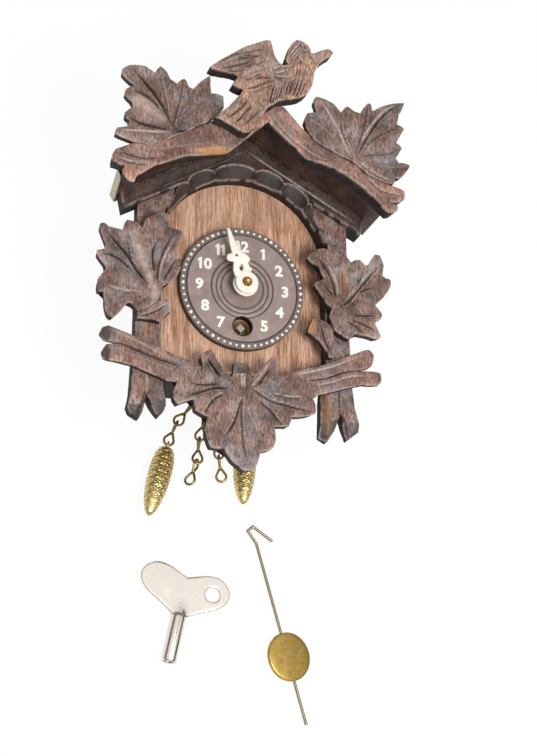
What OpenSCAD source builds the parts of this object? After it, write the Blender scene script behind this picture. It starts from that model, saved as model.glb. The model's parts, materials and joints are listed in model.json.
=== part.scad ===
// Miniature black forest wall clock, laid on its back with its key and pendulum.
// Origin: middle of the case's back face, on the axis of the hands.
// +X is three o'clock, +Y is the roof, +Z comes out of the dial. Millimetres.

/* [Case] */
// Width of the case across its side boards
case_w = 55; // [53:0.5:58]
// Depth of the case behind the front board
case_d = 30.4; // [30:0.2:34]
// Distance from the hands' axis down to the case's bottom face
case_drop = 28; // [27.6:0.2:30]
// Thickness of the side boards
side_t = 2.5; // [2:0.1:3]
// Thickness of the bottom board
bottom_t = 2.5; // [2:0.1:2.9]
// Thickness of the case's own roof boards
inner_roof_t = 2.5; // [2:0.1:3.5]
// Thickness of the back cover
cover_t = 2.2; // [1.6:0.1:3]
// Radius of the hanging hole in the back cover
hang_r = 3; // [2:0.1:4]
// Height of the hanging hole above the hands' axis
hang_y = 26; // [22:0.5:30]
// Thickness of the front board
board_t = 2.6; // [2.2:0.1:3]
// How far the front board stands out past each side of the case
board_lip = 3.5; // [3:0.1:4]
// Length of the leader's slot in the bottom board
slot_w = 11.6; // [10:0.2:13]
// Width of the leader's slot in the bottom board
slot_d = 5; // [4.4:0.2:6]

/* [Roof] */
// Slope of the roof in degrees
roof_deg = 29.5; // [28:0.5:31]
// Height of the roof boards' underside at the ridge
ridge_y = 51.4; // [50:0.2:53]
// Thickness of the visor roof boards
roof_t = 2.8; // [2:0.1:3.6]
// Reach of the visor roof from the middle to its lower corner
roof_reach = 44.5; // [43:0.5:47]
// Depth of the visor roof from back to front
visor_d = 26.2; // [24:0.2:30]

/* [Carvings] */
// Depth of the fascia
fascia_t = 7.6; // [6.4:0.2:9]
// Upright height of the fascia below the roof
fascia_h = 6.8; // [5.5:0.1:8]
// Radius of the arch over the dial
arch_r = 28; // [26.5:0.1:29]
// Width of the chip-cut border of the arch
arch_chip = 3.3; // [2:0.1:4]
// How far the posts' middle stands out past the front board
post_out = 0.7; // [0.3:0.1:1.6]
// Depth of the posts
post_t = 5.6; // [4.6:0.1:7]
// Thickness of the side leaves
leaf_t = 4; // [3:0.1:5]
// Thickness of the lower carving in front of the posts
branch_t = 3; // [2.4:0.1:4]
// Depth of the crest
crest_t = 7; // [6:0.2:9]
// Thickness of the crest's leaves
crest_leaf_t = 3.2; // [2.4:0.1:4]
// Thickness of the bird
bird_t = 5; // [3.5:0.1:6]
// Depth of the carved veins
vein_d = 0.7; // [0.4:0.1:1]

/* [Dial and hands] */
// Radius of the dial
dial_r = 21; // [20.4:0.1:22]
// Height of the dial's moulding
dial_h = 2.6; // [2.4:0.1:3.4]
// Wall of the dial's moulding
dial_wall = 1; // [0.8:0.1:1.2]
// Radius of the keyhole in the dial
keyhole_r = 3.4; // [3:0.1:4]
// Thickness of the hands
hand_t = 0.8; // [0.5:0.1:1]
// Height of the hour hand above the dial
hour_lift = 3.5; // [3:0.1:4.5]

/* [Movement] */
// Distance of the winding arbor below the hands' axis
wind_drop = 13.2; // [13:0.1:13.6]
// Thickness of the movement's plates
plate_t = 1.2; // [0.8:0.1:1.6]
// Distance between the movement's plates
plate_gap = 14.8; // [14.4:0.2:16]
// Half width of the movement's plates
plate_hw = 18.5; // [18:0.5:20]
// Thickness of the wheels
wheel_t = 0.8; // [0.5:0.1:0.9]
// Radius of the train's arbors
arbor_r = 0.6; // [0.5:0.05:0.7]
// Radius of the winding arbor
wind_r = 1.5; // [1.3:0.05:1.6]
// Gap all round a shaft that turns in a hole
run_gap = 0.05; // [0.03:0.01:0.08]
// Distance of the leader's lower end below the hands' axis
leader_drop = 31; // [30.6:0.2:33]

/* [Chains and weights] */
// Radius of the wire of the chain links
link_wire = 0.45; // [0.4:0.05:0.5]
// Play of each link in the next
link_play = 0.25; // [0.15:0.05:0.3]
// Middle radius of a loop of a link
loop_r = 1.65; // [1.5:0.05:1.7]
// Distance between the two loops of a link
loop_pitch = 5.8; // [5.2:0.1:5.8]
// Length of a cone weight
cone_len = 25; // [22:0.5:27]
// Radius of a cone weight
cone_r = 4.4; // [4:0.1:4.6]

/* [Key] */
// Length of the key's stem
stem_len = 15.1; // [13:0.1:17]
// Radius of the key's stem
stem_r = 2.5; // [2.3:0.1:2.8]
// Width across the flats of the winding square
square_w = 2.1; // [1.8:0.05:2.1]
// Thickness of the key's bow
bow_t = 1.2; // [0.8:0.1:1.6]

/* [Pendulum] */
// Length of the pendulum's rod below its hook
rod_len = 61; // [56:0.5:66]
// Radius of the pendulum's wire
rod_r = 0.5; // [0.4:0.05:0.6]
// Distance of the bob below the hook
bob_drop = 38.6; // [34:0.2:46]
// Radius of the bob
bob_r = 8; // [7:0.1:9]
// Thickness of the bob
bob_t = 1.8; // [1.4:0.1:2.4]

/* [Hidden] */
$fn = 48;

walnut = [0.36, 0.25, 0.21];
plywood = [0.62, 0.46, 0.32];
inside_wood = [0.55, 0.4, 0.28];
brass = [0.8, 0.62, 0.3];
steel = [0.6, 0.6, 0.62];

// Levels along Z
board_z = case_d;
front_z = board_z + board_t;
dial_z = front_z + dial_h;
post_z = front_z + post_t;
fascia_z = front_z + fascia_t;
visor_z = board_z + visor_d;
crest_z = visor_z + crest_t;
hour_z = dial_z + hour_lift;
minute_z = hour_z + hand_t + 0.7;
plates_z = board_z - plate_t;
back_plate_z = plates_z - plate_gap - plate_t;

case_hw = case_w / 2;
board_hw = case_hw + board_lip;
post_x = board_hw + post_out;
slope = tan(roof_deg);
bottom_in = case_drop - bottom_t;

// Height of the roof's underside at a distance x from the middle
function roof_y(x, down = 0) = ridge_y - down - slope * abs(x);
function pol(r, a) = [r * cos(a), r * sin(a)];
// A closed outline whose edges bow out by the third number of the point that they start from
function bowed(pts, k = 4) = [for (i = [0:len(pts) - 1]) let (
    p = pts[i],
    q = pts[(i + 1) % len(pts)],
    b = len(p) > 2 ? p[2] : 0,
    n = b == 0 ? 1 : k)
  for (j = [0:n - 1]) let (t = j / n, w = 2 * b * t * (1 - t))
    [p[0] + t * (q[0] - p[0]) + w * (q[1] - p[1]), p[1] + t * (q[1] - p[1]) - w * (q[0] - p[0])]];
// A list of points back to front, mirrored left to right
function mirrored(pts) = [for (i = [len(pts) - 1:-1:0]) [-pts[i][0], pts[i][1]]];

module slab(pts, z0, z1) {
  translate([0, 0, z0]) linear_extrude(z1 - z0) polygon(pts);
}
module disc(r, z0, z1, at = [0, 0]) {
  translate([at[0], at[1], z0]) cylinder(r = r, h = z1 - z0);
}
// A pointed groove from p to q, cut down from height z
module vein(p, q, w, z) {
  d = q - p;
  s = [d[1], -d[0]] / norm(d) * w / 2;
  slab([p, p + 0.4 * d + s, q, p + 0.4 * d - s], z - vein_d, z + 3);
}
module veins(hub, tips, w, z) {
  for (t = tips) vein(hub + 0.12 * (t - hub), hub + 0.85 * (t - hub), w, z);
}

// Case
module front_board() {
  hole_y = motion_y / 2;
  color(plywood) difference() {
    slab([[-board_hw, -case_drop], [board_hw, -case_drop], [board_hw, roof_y(board_hw)],
      [0, ridge_y], [-board_hw, roof_y(board_hw)]], board_z, front_z);
    disc(motion_hole_r, board_z - 1, front_z + 1, [0, hole_y]);
    disc(keyhole_r - 0.4, board_z - 1, front_z + 1, [0, -wind_drop]);
    for (p = screw_at) disc(screw_r, board_z - 1, board_z + screw_bite + 0.1, p);
  }
}
module side_board(s) {
  x0 = s * (case_hw - side_t);
  x1 = s * case_hw;
  slab(s > 0
    ? [[x0, -case_drop], [x1, -case_drop], [x1, roof_y(x1, inner_drop)], [x0, roof_y(x0, inner_drop)]]
    : [[x1, -case_drop], [x0, -case_drop], [x0, roof_y(x0, inner_drop)], [x1, roof_y(x1, inner_drop)]],
    0, board_z);
}
inner_drop = inner_roof_t / cos(roof_deg);
module left_side() { color(inside_wood) side_board(-1); }
module right_side() { color(inside_wood) side_board(1); }
module bottom_board() {
  w = case_hw - side_t;
  color(inside_wood) difference() {
    slab([[-w, -case_drop], [w, -case_drop], [w, -bottom_in], [-w, -bottom_in]], 0, board_z);
    translate([-slot_w / 2, -case_drop - 1, leader_z - slot_d / 2])
      cube([slot_w, bottom_t + 2, slot_d]);
    for (e = eyes) translate([e[0], -case_drop - 1, e[2]]) rotate([-90, 0, 0])
      cylinder(r = eye_wire + 0.02, h = bottom_t + 2);
  }
}
module case_roof() {
  color(inside_wood) for (s = [-1, 1]) mirror([s < 0 ? 1 : 0, 0, 0])
    slab([[0, ridge_y - inner_drop], [case_hw, roof_y(case_hw, inner_drop)],
      [case_hw, roof_y(case_hw)], [0, ridge_y]], 0, board_z);
}
cover_gap = 0.2;
cover_screw_at = [for (s = [-1, 1]) for (y = [-bottom_in + 4, 28]) [s * (case_hw - side_t - 3), y]];
module back_cover() {
  w = case_hw - side_t - cover_gap;
  color(plywood) difference() {
    slab([[-w, -bottom_in + cover_gap], [w, -bottom_in + cover_gap],
      [w, roof_y(w, inner_drop + cover_gap)], [0, ridge_y - inner_drop - cover_gap],
      [-w, roof_y(w, inner_drop + cover_gap)]], 0, cover_t);
    disc(hang_r, -1, cover_t + 1, [0, hang_y]);
    for (p = cover_screw_at) disc(0.9, -1, cover_t + 1, p);
  }
}
// Countersunk screws that hold the cover to battens glued in the case's corners
module cover_screws() {
  color(steel) for (p = cover_screw_at) translate([p[0], p[1], 0]) {
    difference() {
      cylinder(r = 0.85, h = 6);
      translate([-0.2, -2, -1]) cube([0.4, 4, 1.4]);
    }
  }
}

// Visor roof
module roof_board() {
  c = cos(roof_deg);
  e = [roof_reach + roof_t * sin(roof_deg), roof_y(roof_reach) + roof_t * c];
  slab([[0, ridge_y], [roof_reach, roof_y(roof_reach)], e, [0, ridge_y + roof_t / c]], board_z, visor_z);
}
module right_roof() { color(walnut) roof_board(); }
module left_roof() { color(walnut) mirror([1, 0, 0]) roof_board(); }
arch_y = 9.75;
fascia_tip = [40.3, 21.8];
// Where the fascia's horns meet the posts, from the roof down to the arch
horn_line = [[22.8, 31], [25.5, 24.5], [27.3, 19.5], [27.6, 15]];
seam_gap = 0.02;
function horn_pts() = [for (p = horn_line) let (x = p[0] + post_x - post_ref)
  [x - seam_gap, p == horn_line[0] ? roof_y(x, fascia_h) : p[1]]];
module fascia() {
  end = [fascia_tip[0] + 1.2, roof_y(fascia_tip[0] + 1.2)];
  right = concat([end, [fascia_tip[0], roof_y(fascia_tip[0], fascia_h)]], horn_pts());
  color(walnut) difference() {
    slab(concat([[0, ridge_y]], right, mirrored(right)), front_z, fascia_z);
    disc(arch_r, front_z - 1, fascia_z + 1, [0, arch_y]);
    translate([0, arch_y, fascia_z - 4.6]) cylinder(r1 = arch_r - 0.01, r2 = arch_r + arch_chip, h = 4.61);
    for (a = scallops) rotate_about(a) translate([0, arch_r + 0.6, fascia_z + 1.6])
      rotate([-42, 0, 0]) cylinder(r = 4.2, h = 9, center = true);
    for (s = [-1, 1]) vein([s * 1, roof_y(1, 4.4)], [s * 39, roof_y(39, 4.4)], 0.8, fascia_z);
  }
}
scallops = [-54, -31, -10, 10, 31, 54];
module rotate_about(a) { translate([0, arch_y, 0]) rotate(-a) children(); }

// Carved posts, each with a forked foot
post_line = [[27.6, -24], [25.8, -35.8], [25.6, -44.5], [25.3, -48.6], [27.8, -50.1], [30.2, -46.5],
  [32, -40.4], [33.4, -45.6], [34.8, -49.1], [38.3, -46.3], [38.4, -44.2], [37, -39], [36.2, -31.5],
  [35.8, -15]];
post_top_x = 35.7;
post_ref = 31.7;
function post_pts() = let (dx = post_x - post_ref, over = post_top_x + dx) concat(
  [for (p = post_line) p + [dx, 0]],
  [[over, roof_y(over, fascia_h) - seam_gap]],
  [for (p = horn_pts()) p + [seam_gap, p[1] > 30 ? -seam_gap : 0]]);
module post() {
  difference() {
    slab(post_pts(), front_z, post_z);
    disc(arch_r, front_z - 1, post_z + 1, [0, arch_y]);
    vein([post_x, -26], [post_x + 0.3, -41], 1.4, post_z);
    vein([post_x, 16], [post_x, -12], 1.2, post_z);
    for (x = [28.6, 37]) translate([x + post_x - post_ref, -50.6, post_z]) rotate([45, 0, 0])
      cube([6.6, 8, 3], center = true);
  }
}
module right_post() { color(walnut) post(); }
module left_post() { color(walnut) mirror([1, 0, 0]) post(); }

// Leaves on the posts, each with its sawn twig
left_leaf_line = [[-26.4, 20.3, 0.1], [-30.5, 20.2, 0.1], [-33.8, 17.5], [-35, 14.2, 0.2], [-37.6, 16.3],
  [-39.8, 16.6, 0.2], [-41.1, 12.9], [-45.7, 13.6], [-47.3, 14.7], [-48.5, 14.2, 0.2], [-48.6, 12.5],
  [-46.5, 7], [-46.7, 6], [-49.3, 5, 0.2], [-49.2, 3.4], [-46.2, -0.7], [-48.8, -4.4, 0.15],
  [-48.9, -8.6, 0.2], [-47.1, -8.6], [-46.8, -10.7, 0.1], [-45.7, -16.1, 0.2], [-44, -17.2, 0.1],
  [-40.5, -13.2], [-39.4, -11.7], [-38.4, -11.5], [-36.1, -14.2, 0.1], [-30, -10.3, 0.1], [-29, -6.9],
  [-28.2, -5], [-25.7, -3.6, 0.1], [-22.3, 1.8], [-22.1, 4.3, 0.2], [-23, 5], [-24.6, 5],
  [-24.8, 7.2], [-23.2, 10.6], [-21.7, 12.7], [-21.3, 14.1, 0.2], [-22.3, 15], [-26.1, 15.5]];
right_leaf_line = [[34.3, -16.9], [36, -14.7], [40.2, -15], [43.1, -15.7], [45, -15.2, 0.2],
  [44.8, -13.6], [43.4, -10.2], [45.2, -8.8], [46, -7.3, 0.2], [45.4, -5.9], [43.7, -3.8],
  [45.6, -1.9, 0.1], [49.2, 3.1, 0.1], [49.5, 5.6, 0.2], [47.7, 6.2], [46.6, 7], [47.2, 10.6, 0.1],
  [45.8, 14.1, 0.2], [43.9, 14.1], [41.6, 10.2], [40.4, 10.2], [38.9, 11.7, 0.2], [35.6, 10.5],
  [34, 12.6, 0.1], [27.4, 16.4], [27.5, 14.3, 0.15], [23.1, 13.5], [21.4, 11.8], [20.2, 10.4, 0.2],
  [24.5, 7.7, 0.1], [26, 3.9], [24.5, 2.7], [23.3, 2.2, 0.2], [22.5, 1], [25.2, -2.8, 0.1],
  [28.1, -6.9], [27.3, -9.4, 0.1], [28.9, -14, 0.1]];
left_twig_line = [[-26.3, -8.6, 0.1], [-25, -12.8, 0.1], [-28.6, -16.6, 0.1], [-36, -16.2, 0.1],
  [-36.3, -14], [-30, -9.9]];
right_twig_line = [[22.5, -9.9, 0.1], [20.2, -15, 0.1], [24, -17.6, -0.1], [27.3, -23.2], [29, -23.2],
  [29, -12.5, 0.1]];
left_leaf_tips = [[-27, 18], [-38.5, 15], [-47.3, 12.8], [-47.5, -6.5], [-44.5, -14.5], [-35, -12.2],
  [-24, 3], [-23, 13.6]];
right_leaf_tips = [[43.6, -14], [44.5, -7.3], [48, 4.6], [45, 12.4], [38.3, 10], [28.8, 14.8],
  [21.8, 10.8], [24, 0.8]];
leaf_z = post_z + leaf_t;
module side_leaf(line, twig, tips, hub, s) {
  translate([s * (post_x - post_ref), 0, 0]) difference() {
    union() {
      slab(bowed(line), post_z, leaf_z);
      slab(bowed(twig), post_z, leaf_z - 0.8);
    }
    veins(hub, tips, 1, leaf_z);
  }
}
module left_leaf() {
  color(walnut) side_leaf(left_leaf_line, left_twig_line, left_leaf_tips, [-31, -4], -1);
}
module right_leaf() {
  color(walnut) side_leaf(right_leaf_line, right_twig_line, right_leaf_tips, [31, -8], 1);
}

// Lower carving: a leaf on two pairs of branches, let in over the posts
lower_leaf_line = [[-0.4, -62, 0.2], [2.8, -61.2, 0.1], [4.8, -55.6], [8, -54.8, 0.2], [9.9, -51.5, 0.1],
  [9.4, -46.9], [14.3, -46.6, 0.1], [15.3, -43.2, 0.05], [20.5, -42.6, 0.1], [23.4, -41.4, 0.2],
  [22.7, -36.6, 0.1], [26, -33.8, 0.2], [23.3, -31.2, 0.1], [15.3, -29.2], [12.2, -32.6],
  [10.3, -28.4, 0.1], [10.9, -25, 0.2], [9.1, -23.4], [5.6, -27.6], [2.3, -31.6], [1.9, -28],
  [1.5, -26.2], [-3.4, -26.3], [-3.7, -28.5], [-4.3, -31.8], [-7.2, -29.4], [-11.2, -22.8, 0.1],
  [-14.6, -25.4, 0.1], [-13.9, -28], [-14.3, -31.6], [-15.3, -29.3, 0.1], [-21.3, -29.6, 0.1],
  [-24.7, -32.5, 0.1], [-21.9, -34.4], [-23.2, -37, 0.1], [-23.5, -40, 0.1], [-21.8, -42.1],
  [-17, -40], [-16.5, -43.2, 0.1], [-12.4, -45.3], [-13.2, -50, 0.1], [-11.3, -55.2, 0.1],
  [-7.2, -55.4], [-4.9, -58.5, 0.1]];
right_branch_line = [[9, -34], [16, -36], [26.2, -34.6], [33.7, -32.1], [40.3, -30.1, 0.1], [46, -29.6, 0.1],
  [47.4, -27.4, 0.1], [47.2, -25], [42.6, -25.2], [38.5, -25.2], [42.2, -24.4, 0.1], [43.8, -23, 0.1],
  [45, -19.1, 0.1], [43.4, -17.7, 0.1], [41.2, -18.1], [33.7, -21.4], [25.3, -25.2, 0.05],
  [17.5, -27.5], [9, -30.5]];
left_branch_line = [[-12, -34.6], [-12, -30], [-16.4, -27.6], [-21.5, -26.2], [-28.8, -23.2],
  [-37.2, -19.9], [-44.2, -17.7, 0.1], [-45.9, -18.2, 0.1], [-46.8, -20.8, 0.1], [-45.4, -22.7],
  [-40.6, -23.4], [-44.6, -23.9, 0.1], [-46.1, -26.6, 0.1], [-45.4, -28.8, 0.1], [-42.2, -29.3],
  [-36.3, -30.4], [-25.1, -34.6]];
lower_tips = [[0.5, -60], [8.2, -51], [13.6, -44.4], [21.8, -39], [23, -33.6], [8.6, -26], [-10.5, -26],
  [-21.5, -31.8], [-21.6, -38], [-14.6, -42.4], [-11, -51.6]];
lower_hub = [-1.3, -36];
branch_z = post_z + branch_t;
module lower_carving() {
  color(walnut) difference() {
    union() {
      slab(bowed(lower_leaf_line), front_z, branch_z);
      slab(bowed(right_branch_line), post_z, branch_z);
      slab(bowed(left_branch_line), post_z, branch_z);
    }
    veins(lower_hub, lower_tips, 1.1, branch_z);
    vein([38.4, -25.3], [20, -30.6], 1, branch_z);
    vein([-40.4, -23.5], [-20, -30], 1, branch_z);
    for (s = [-1, 1]) translate([s * post_x - 8.1 + s * 2.1, -60, front_z - 1])
      cube([16.2, 48, post_t + 1.02]);
  }
}

// Crest: a gabled band with two leaves, in front of the visor roof
band_line = [[-47.9, 30.8, 0.1], [-49.2, 28.5, 0.1], [-49, 26.3], [-45.4, 25.4], [-46, 23.5, 0.2],
  [-44.3, 20.8, 0.2], [-42.1, 20.3], [-41.5, 22.2], [-35.8, 26.6], [-24.2, 32.1], [-11.7, 34.7],
  [1.2, 47.1], [14.4, 35.4], [19.2, 35], [26.7, 32.2], [33.3, 28], [41.3, 20.2, 0.2], [44.2, 21.2, 0.2],
  [44.8, 23], [42.3, 24.2], [44.8, 24.5, 0.2], [47.1, 25.8, 0.1], [47.2, 28.7, 0.1], [43.3, 30],
  [39, 31.6], [30, 38], [20, 41], [13, 46], [6.7, 53], [0, 55], [-8, 50], [-14, 47], [-20, 43],
  [-30, 38], [-42.9, 33.3]];
right_crest_line = [[30, 35.5], [34, 32.6], [39, 31, 0.1], [43.3, 30.3], [43.8, 32.4], [45.4, 32.4, 0.1],
  [49.1, 37.6, 0.2], [45.4, 38.2], [44.2, 39.6], [46.5, 43.4, 0.2], [44.6, 45.3], [47.6, 50.6, 0.2],
  [45.2, 52.1], [46, 55.8, 0.1], [48.1, 60.3, 0.1], [40, 57.9], [36.7, 55.7], [36.3, 57.9, 0.2],
  [35.2, 58.3, 0.1], [32.4, 54.2], [30.4, 54.6], [28.2, 56, 0.2], [26.7, 55], [25.6, 53.6],
  [23.3, 56.3, 0.1], [17.5, 58, 0.3], [16.2, 55.8], [17.1, 52.4], [14.2, 51.6, 0.15], [12.9, 48.3, 0.1],
  [15.5, 43], [19, 40.3]];
left_crest_line = [[-13.9, 49.2], [-14, 53.2, 0.2], [-17.9, 53.8], [-18.3, 56.7, 0.1], [-18.4, 60, 0.1],
  [-23.8, 54.6], [-25.3, 55], [-26.2, 57.1, 0.2], [-27.1, 57.5, 0.1], [-29.2, 55.6], [-31.3, 56.7],
  [-32.5, 59.2, 0.1], [-34.6, 60.8, 0.1], [-36.3, 58.3], [-39.2, 60, 0.1], [-44.2, 59.8, 0.1],
  [-46.7, 57.9, 0.2], [-46.9, 56.2, 0.1], [-42.9, 52.9], [-45.4, 51.2, 0.1], [-46, 49.2, 0.1],
  [-43.7, 47], [-43.3, 45.4], [-45.7, 42.9, 0.2], [-45.7, 41.2], [-44.2, 40.4], [-44.7, 38.4],
  [-48, 37.4, 0.1], [-48.8, 35.3, 0.1], [-46.2, 34.2], [-42.9, 33.3], [-38, 33], [-32, 35.5],
  [-19.5, 43.3], [-15.5, 46.5]];
right_crest_tips = [[46.6, 36.4], [44.6, 42.6], [45.2, 49.6], [45.4, 57.6], [35, 55.4], [28, 53.4],
  [18.6, 55.6], [14.6, 48.4]];
left_crest_tips = [[-15.4, 51.8], [-19.4, 56.6], [-27.2, 54.6], [-34.6, 57.6], [-44.2, 57.2],
  [-43.8, 49.2], [-43.2, 42], [-46, 35.8]];
band_z = crest_z - 1;
module crest_carving() {
  color(walnut) difference() {
    union() {
      slab(bowed(band_line), visor_z, band_z);
      slab(bowed(right_crest_line), crest_z - crest_leaf_t, crest_z);
      slab(bowed(left_crest_line), crest_z - crest_leaf_t, crest_z);
    }
    veins([28.5, 39], right_crest_tips, 1.1, crest_z);
    veins([-30, 39], left_crest_tips, 1.1, crest_z);
  }
}

// The bird on the crest
bird_line = [[-18.1, 43, -0.1], [-9.3, 39.2, 0.1], [-7, 39.4], [-5.2, 41.5], [-0.6, 49.2, 0.1],
  [2.8, 51.9, 0.05], [9.8, 53.8, 0.2], [14.2, 59, 0.05], [15, 63.6, -0.05], [17.3, 67.8, -0.05],
  [21.1, 71.1, 0.1], [21.9, 72.3], [21.1, 73.1, 0.1], [19.6, 73.3, 0.05], [15.7, 71.3],
  [14.2, 70.9], [14.2, 72.3, 0.1], [13, 74, 0.15], [9.4, 75, 0.2], [6.9, 71.5], [5.5, 67.3, 0.05],
  [6.1, 65.7, -0.1], [4.8, 65, -0.1], [3.2, 65.7, -0.1], [1.7, 67.8], [0.5, 73, 0.1], [-1.8, 72.7],
  [-8.1, 69.6], [-16.2, 63.6], [-19.8, 60.3, 0.1], [-18.1, 59.6], [-12.3, 59.4], [-10.8, 59],
  [-10.6, 58.2], [-12.5, 55.3, 0.1], [-8.9, 54], [-9.8, 52.3], [-13.9, 47.1, 0.05]];
bird_z = crest_z + bird_t;
module bird() {
  color(walnut) difference() {
    slab(bowed(bird_line), crest_z, bird_z);
    for (k = [0:3]) vein([-2 - 1.2 * k, 62 - 1.6 * k], [-9 - 2 * k, 66.6 - 2.4 * k], 0.8, bird_z);
    for (k = [0:3]) vein([-7 + 1.4 * k, 49 + 0.5 * k], [-13.4 + 2 * k, 44 - k], 0.8, bird_z);
    disc(0.7, bird_z - 0.6, bird_z + 1, [12, 72.6]);
  }
}

// Dial: a hollow moulding with raised rings
pipe_r = arbor_r + run_gap;
cannon_r = pipe_r + 0.4;
hour_in = cannon_r + run_gap;
hour_r = hour_in + 0.5;
module dial() {
  h = dial_h;
  w = dial_wall;
  color([0.6, 0.5, 0.48]) difference() {
    union() {
      translate([0, 0, front_z]) rotate_extrude($fn = 96) polygon([[hour_r + 0.5, h - w],
        [dial_r - w, h - w], [dial_r - w, 0], [dial_r, 0], [dial_r, h - 0.5], [dial_r - 0.5, h],
        [18.9, h], [18.9, h - 0.25], [18.5, h - 0.25], [18.5, h], [10.1, h], [10.1, h + 0.25],
        [9.6, h + 0.25], [9.6, h], [8.6, h], [8.6, h + 0.25], [8.2, h + 0.25], [8.2, h],
        [hour_r + 0.5, h]]);
      disc(keyhole_r + 0.9, dial_z - w - 0.4, dial_z + 0.2, [0, -wind_drop]);
    }
    disc(keyhole_r, front_z - 1, dial_z + 2, [0, -wind_drop]);
  }
}

// Hands
hour_line = [[-3.6, -1.4, 0.2], [1, -3.6, 0.2], [3.8, 0.4, 0.2], [1.6, 3.4], [2.2, 5.4, 0.3], [0.2, 6.8],
  [0.6, 8.4, 0.3], [-0.9, 9.4], [-1.9, 14.2], [-2.9, 14.1], [-2.2, 9.3, 0.3], [-3.4, 8.2], [-2.6, 6.6, 0.3],
  [-3.9, 5], [-2.4, 3, 0.2]];
minute_line = [[-3.4, -1.2, 0.2], [0.8, -3.4, 0.2], [3.6, 0.6, 0.2], [0.9, 3.6, 0.2], [0.9, 7.4, 0.1],
  [1.1, 9.2, 0.3], [-0.6, 9.9], [-2, 10.6], [-5, 19.2, 0.4], [-6.2, 18.8], [-4.4, 10], [-5.8, 9.6, 0.3],
  [-6.2, 8, 0.1], [-4.6, 7, 0.1], [-4.2, 4, 0.1]];
module hour_hand() {
  color("ivory") difference() {
    union() {
      slab(bowed(hour_line), hour_z, hour_z + hand_t);
      disc(4.2, hour_z, hour_z + hand_t);
    }
    disc(hour_r + 0.02, hour_z - 1, hour_z + hand_t + 1);
    disc(0.8, hour_z - 1, hour_z + hand_t + 1, [-1.4, 6.4]);
  }
}
module minute_hand() {
  color("ivory") difference() {
    union() {
      slab(bowed(minute_line), minute_z, minute_z + hand_t);
      disc(3.8, minute_z, minute_z + hand_t);
    }
    disc(cannon_r + 0.02, minute_z - 1, minute_z + hand_t + 1);
    disc(0.8, minute_z - 1, minute_z + hand_t + 1, [-1.5, 5]);
    disc(0.4, minute_z - 1, minute_z + hand_t + 1, [-3.3, 9.6]);
  }
}
nut_h = 0.9;
module hand_nut() {
  z = minute_z + hand_t;
  color(brass) translate([0, 0, z]) difference() {
    rotate_extrude() polygon([[cannon_r + 0.02, 0], [1.55, 0], [1.55, nut_h - 0.3], [1.3, nut_h],
      [cannon_r + 0.02, nut_h]]);
    translate([-0.2, -2, nut_h - 0.3]) cube([0.4, 4, 1]);
  }
}

// Movement: train and plates
great_m = 0.455;
great_n = 48;
centre_pin_n = 10;
centre_m = 0.3;
centre_n = 60;
third_m = 0.28;
third_n = 56;
fourth_m = 0.26;
fourth_n = 32;
pin_n = 8;
motion_m = 0.32;
cannon_n = 10;
minute_n = 30;
hour_n = 32;
motion_y = motion_m * (cannon_n + minute_n) / 2;
motion_hole_r = 9.6;
third_dist = centre_m * (centre_n + pin_n) / 2;
fourth_dist = third_m * (third_n + pin_n) / 2;
escape_dist = fourth_m * (fourth_n + pin_n) / 2;
wind_at = [0, -wind_drop];
third_at = pol(third_dist, 28);
escape_at = [0, 15];
// The fourth arbor stands where the third's and the escape wheel's centre distances meet
function meet(a, b, ra, rb) = let (
    d = norm(b - a),
    x = (d * d + ra * ra - rb * rb) / (2 * d),
    y = sqrt(ra * ra - x * x),
    u = (b - a) / d)
  a + x * u + y * [u[1], -u[0]];
fourth_at = meet(third_at, escape_at, fourth_dist, escape_dist);
verge_at = escape_at + [0, 5.8];
// Teeth of a wheel and leaves of a pinion; m is the module
function teeth(n, m, half, tip, add) = let (r = n * m / 2, p = 360 / n)
  [for (i = [0:n - 1]) for (q = [[-1.35 * m, -half], [0, -half], [add * m, -tip], [add * m, tip],
      [0, half], [-1.35 * m, half]]) pol(r + q[0], (i + q[1]) * p)];
function wheel_pts(n, m) = teeth(n, m, 0.2, 0.07, 0.95);
function pinion_pts(n, m) = teeth(n, m, 0.14, 0.07, 0.6);
// Angle that puts a wheel at b in mesh with one at a that stands at angle fa
function mesh(a, b, na, nb, fa) = let (th = atan2(b[1] - a[1], b[0] - a[0]))
  th + 180 - 360 / nb * (0.5 - na * (th - fa) / 360);
great_a = 0;
centre_pin_a = mesh(wind_at, [0, 0], great_n, centre_pin_n, great_a);
centre_a = 0;
third_pin_a = mesh([0, 0], third_at, centre_n, pin_n, centre_a);
third_a = 0;
fourth_pin_a = mesh(third_at, fourth_at, third_n, pin_n, third_a);
fourth_a = 0;
escape_pin_a = mesh(fourth_at, escape_at, fourth_n, pin_n, fourth_a);

mid = back_plate_z + plate_t;
great_z = plates_z - 3.6;
centre_z = plates_z - 6;
third_z = plates_z - 8.8;
fourth_z = plates_z - 11.2;
escape_z = plates_z - 13.2;
leader_z = back_plate_z - 2.2;
pillar_x = plate_hw - 2;
pillar_at = [[-pillar_x, -22.6], [pillar_x, -22.6], [-pillar_x, 20.5], [pillar_x, 20.5]];
screw_at = [[-pillar_x, -8], [pillar_x, -8], [-pillar_x, 12], [pillar_x, 12]];
screw_r = 0.85;
screw_bite = 2;
arbors_at = [third_at, fourth_at, escape_at, verge_at];
plate_low = bottom_in - 0.7;

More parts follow.
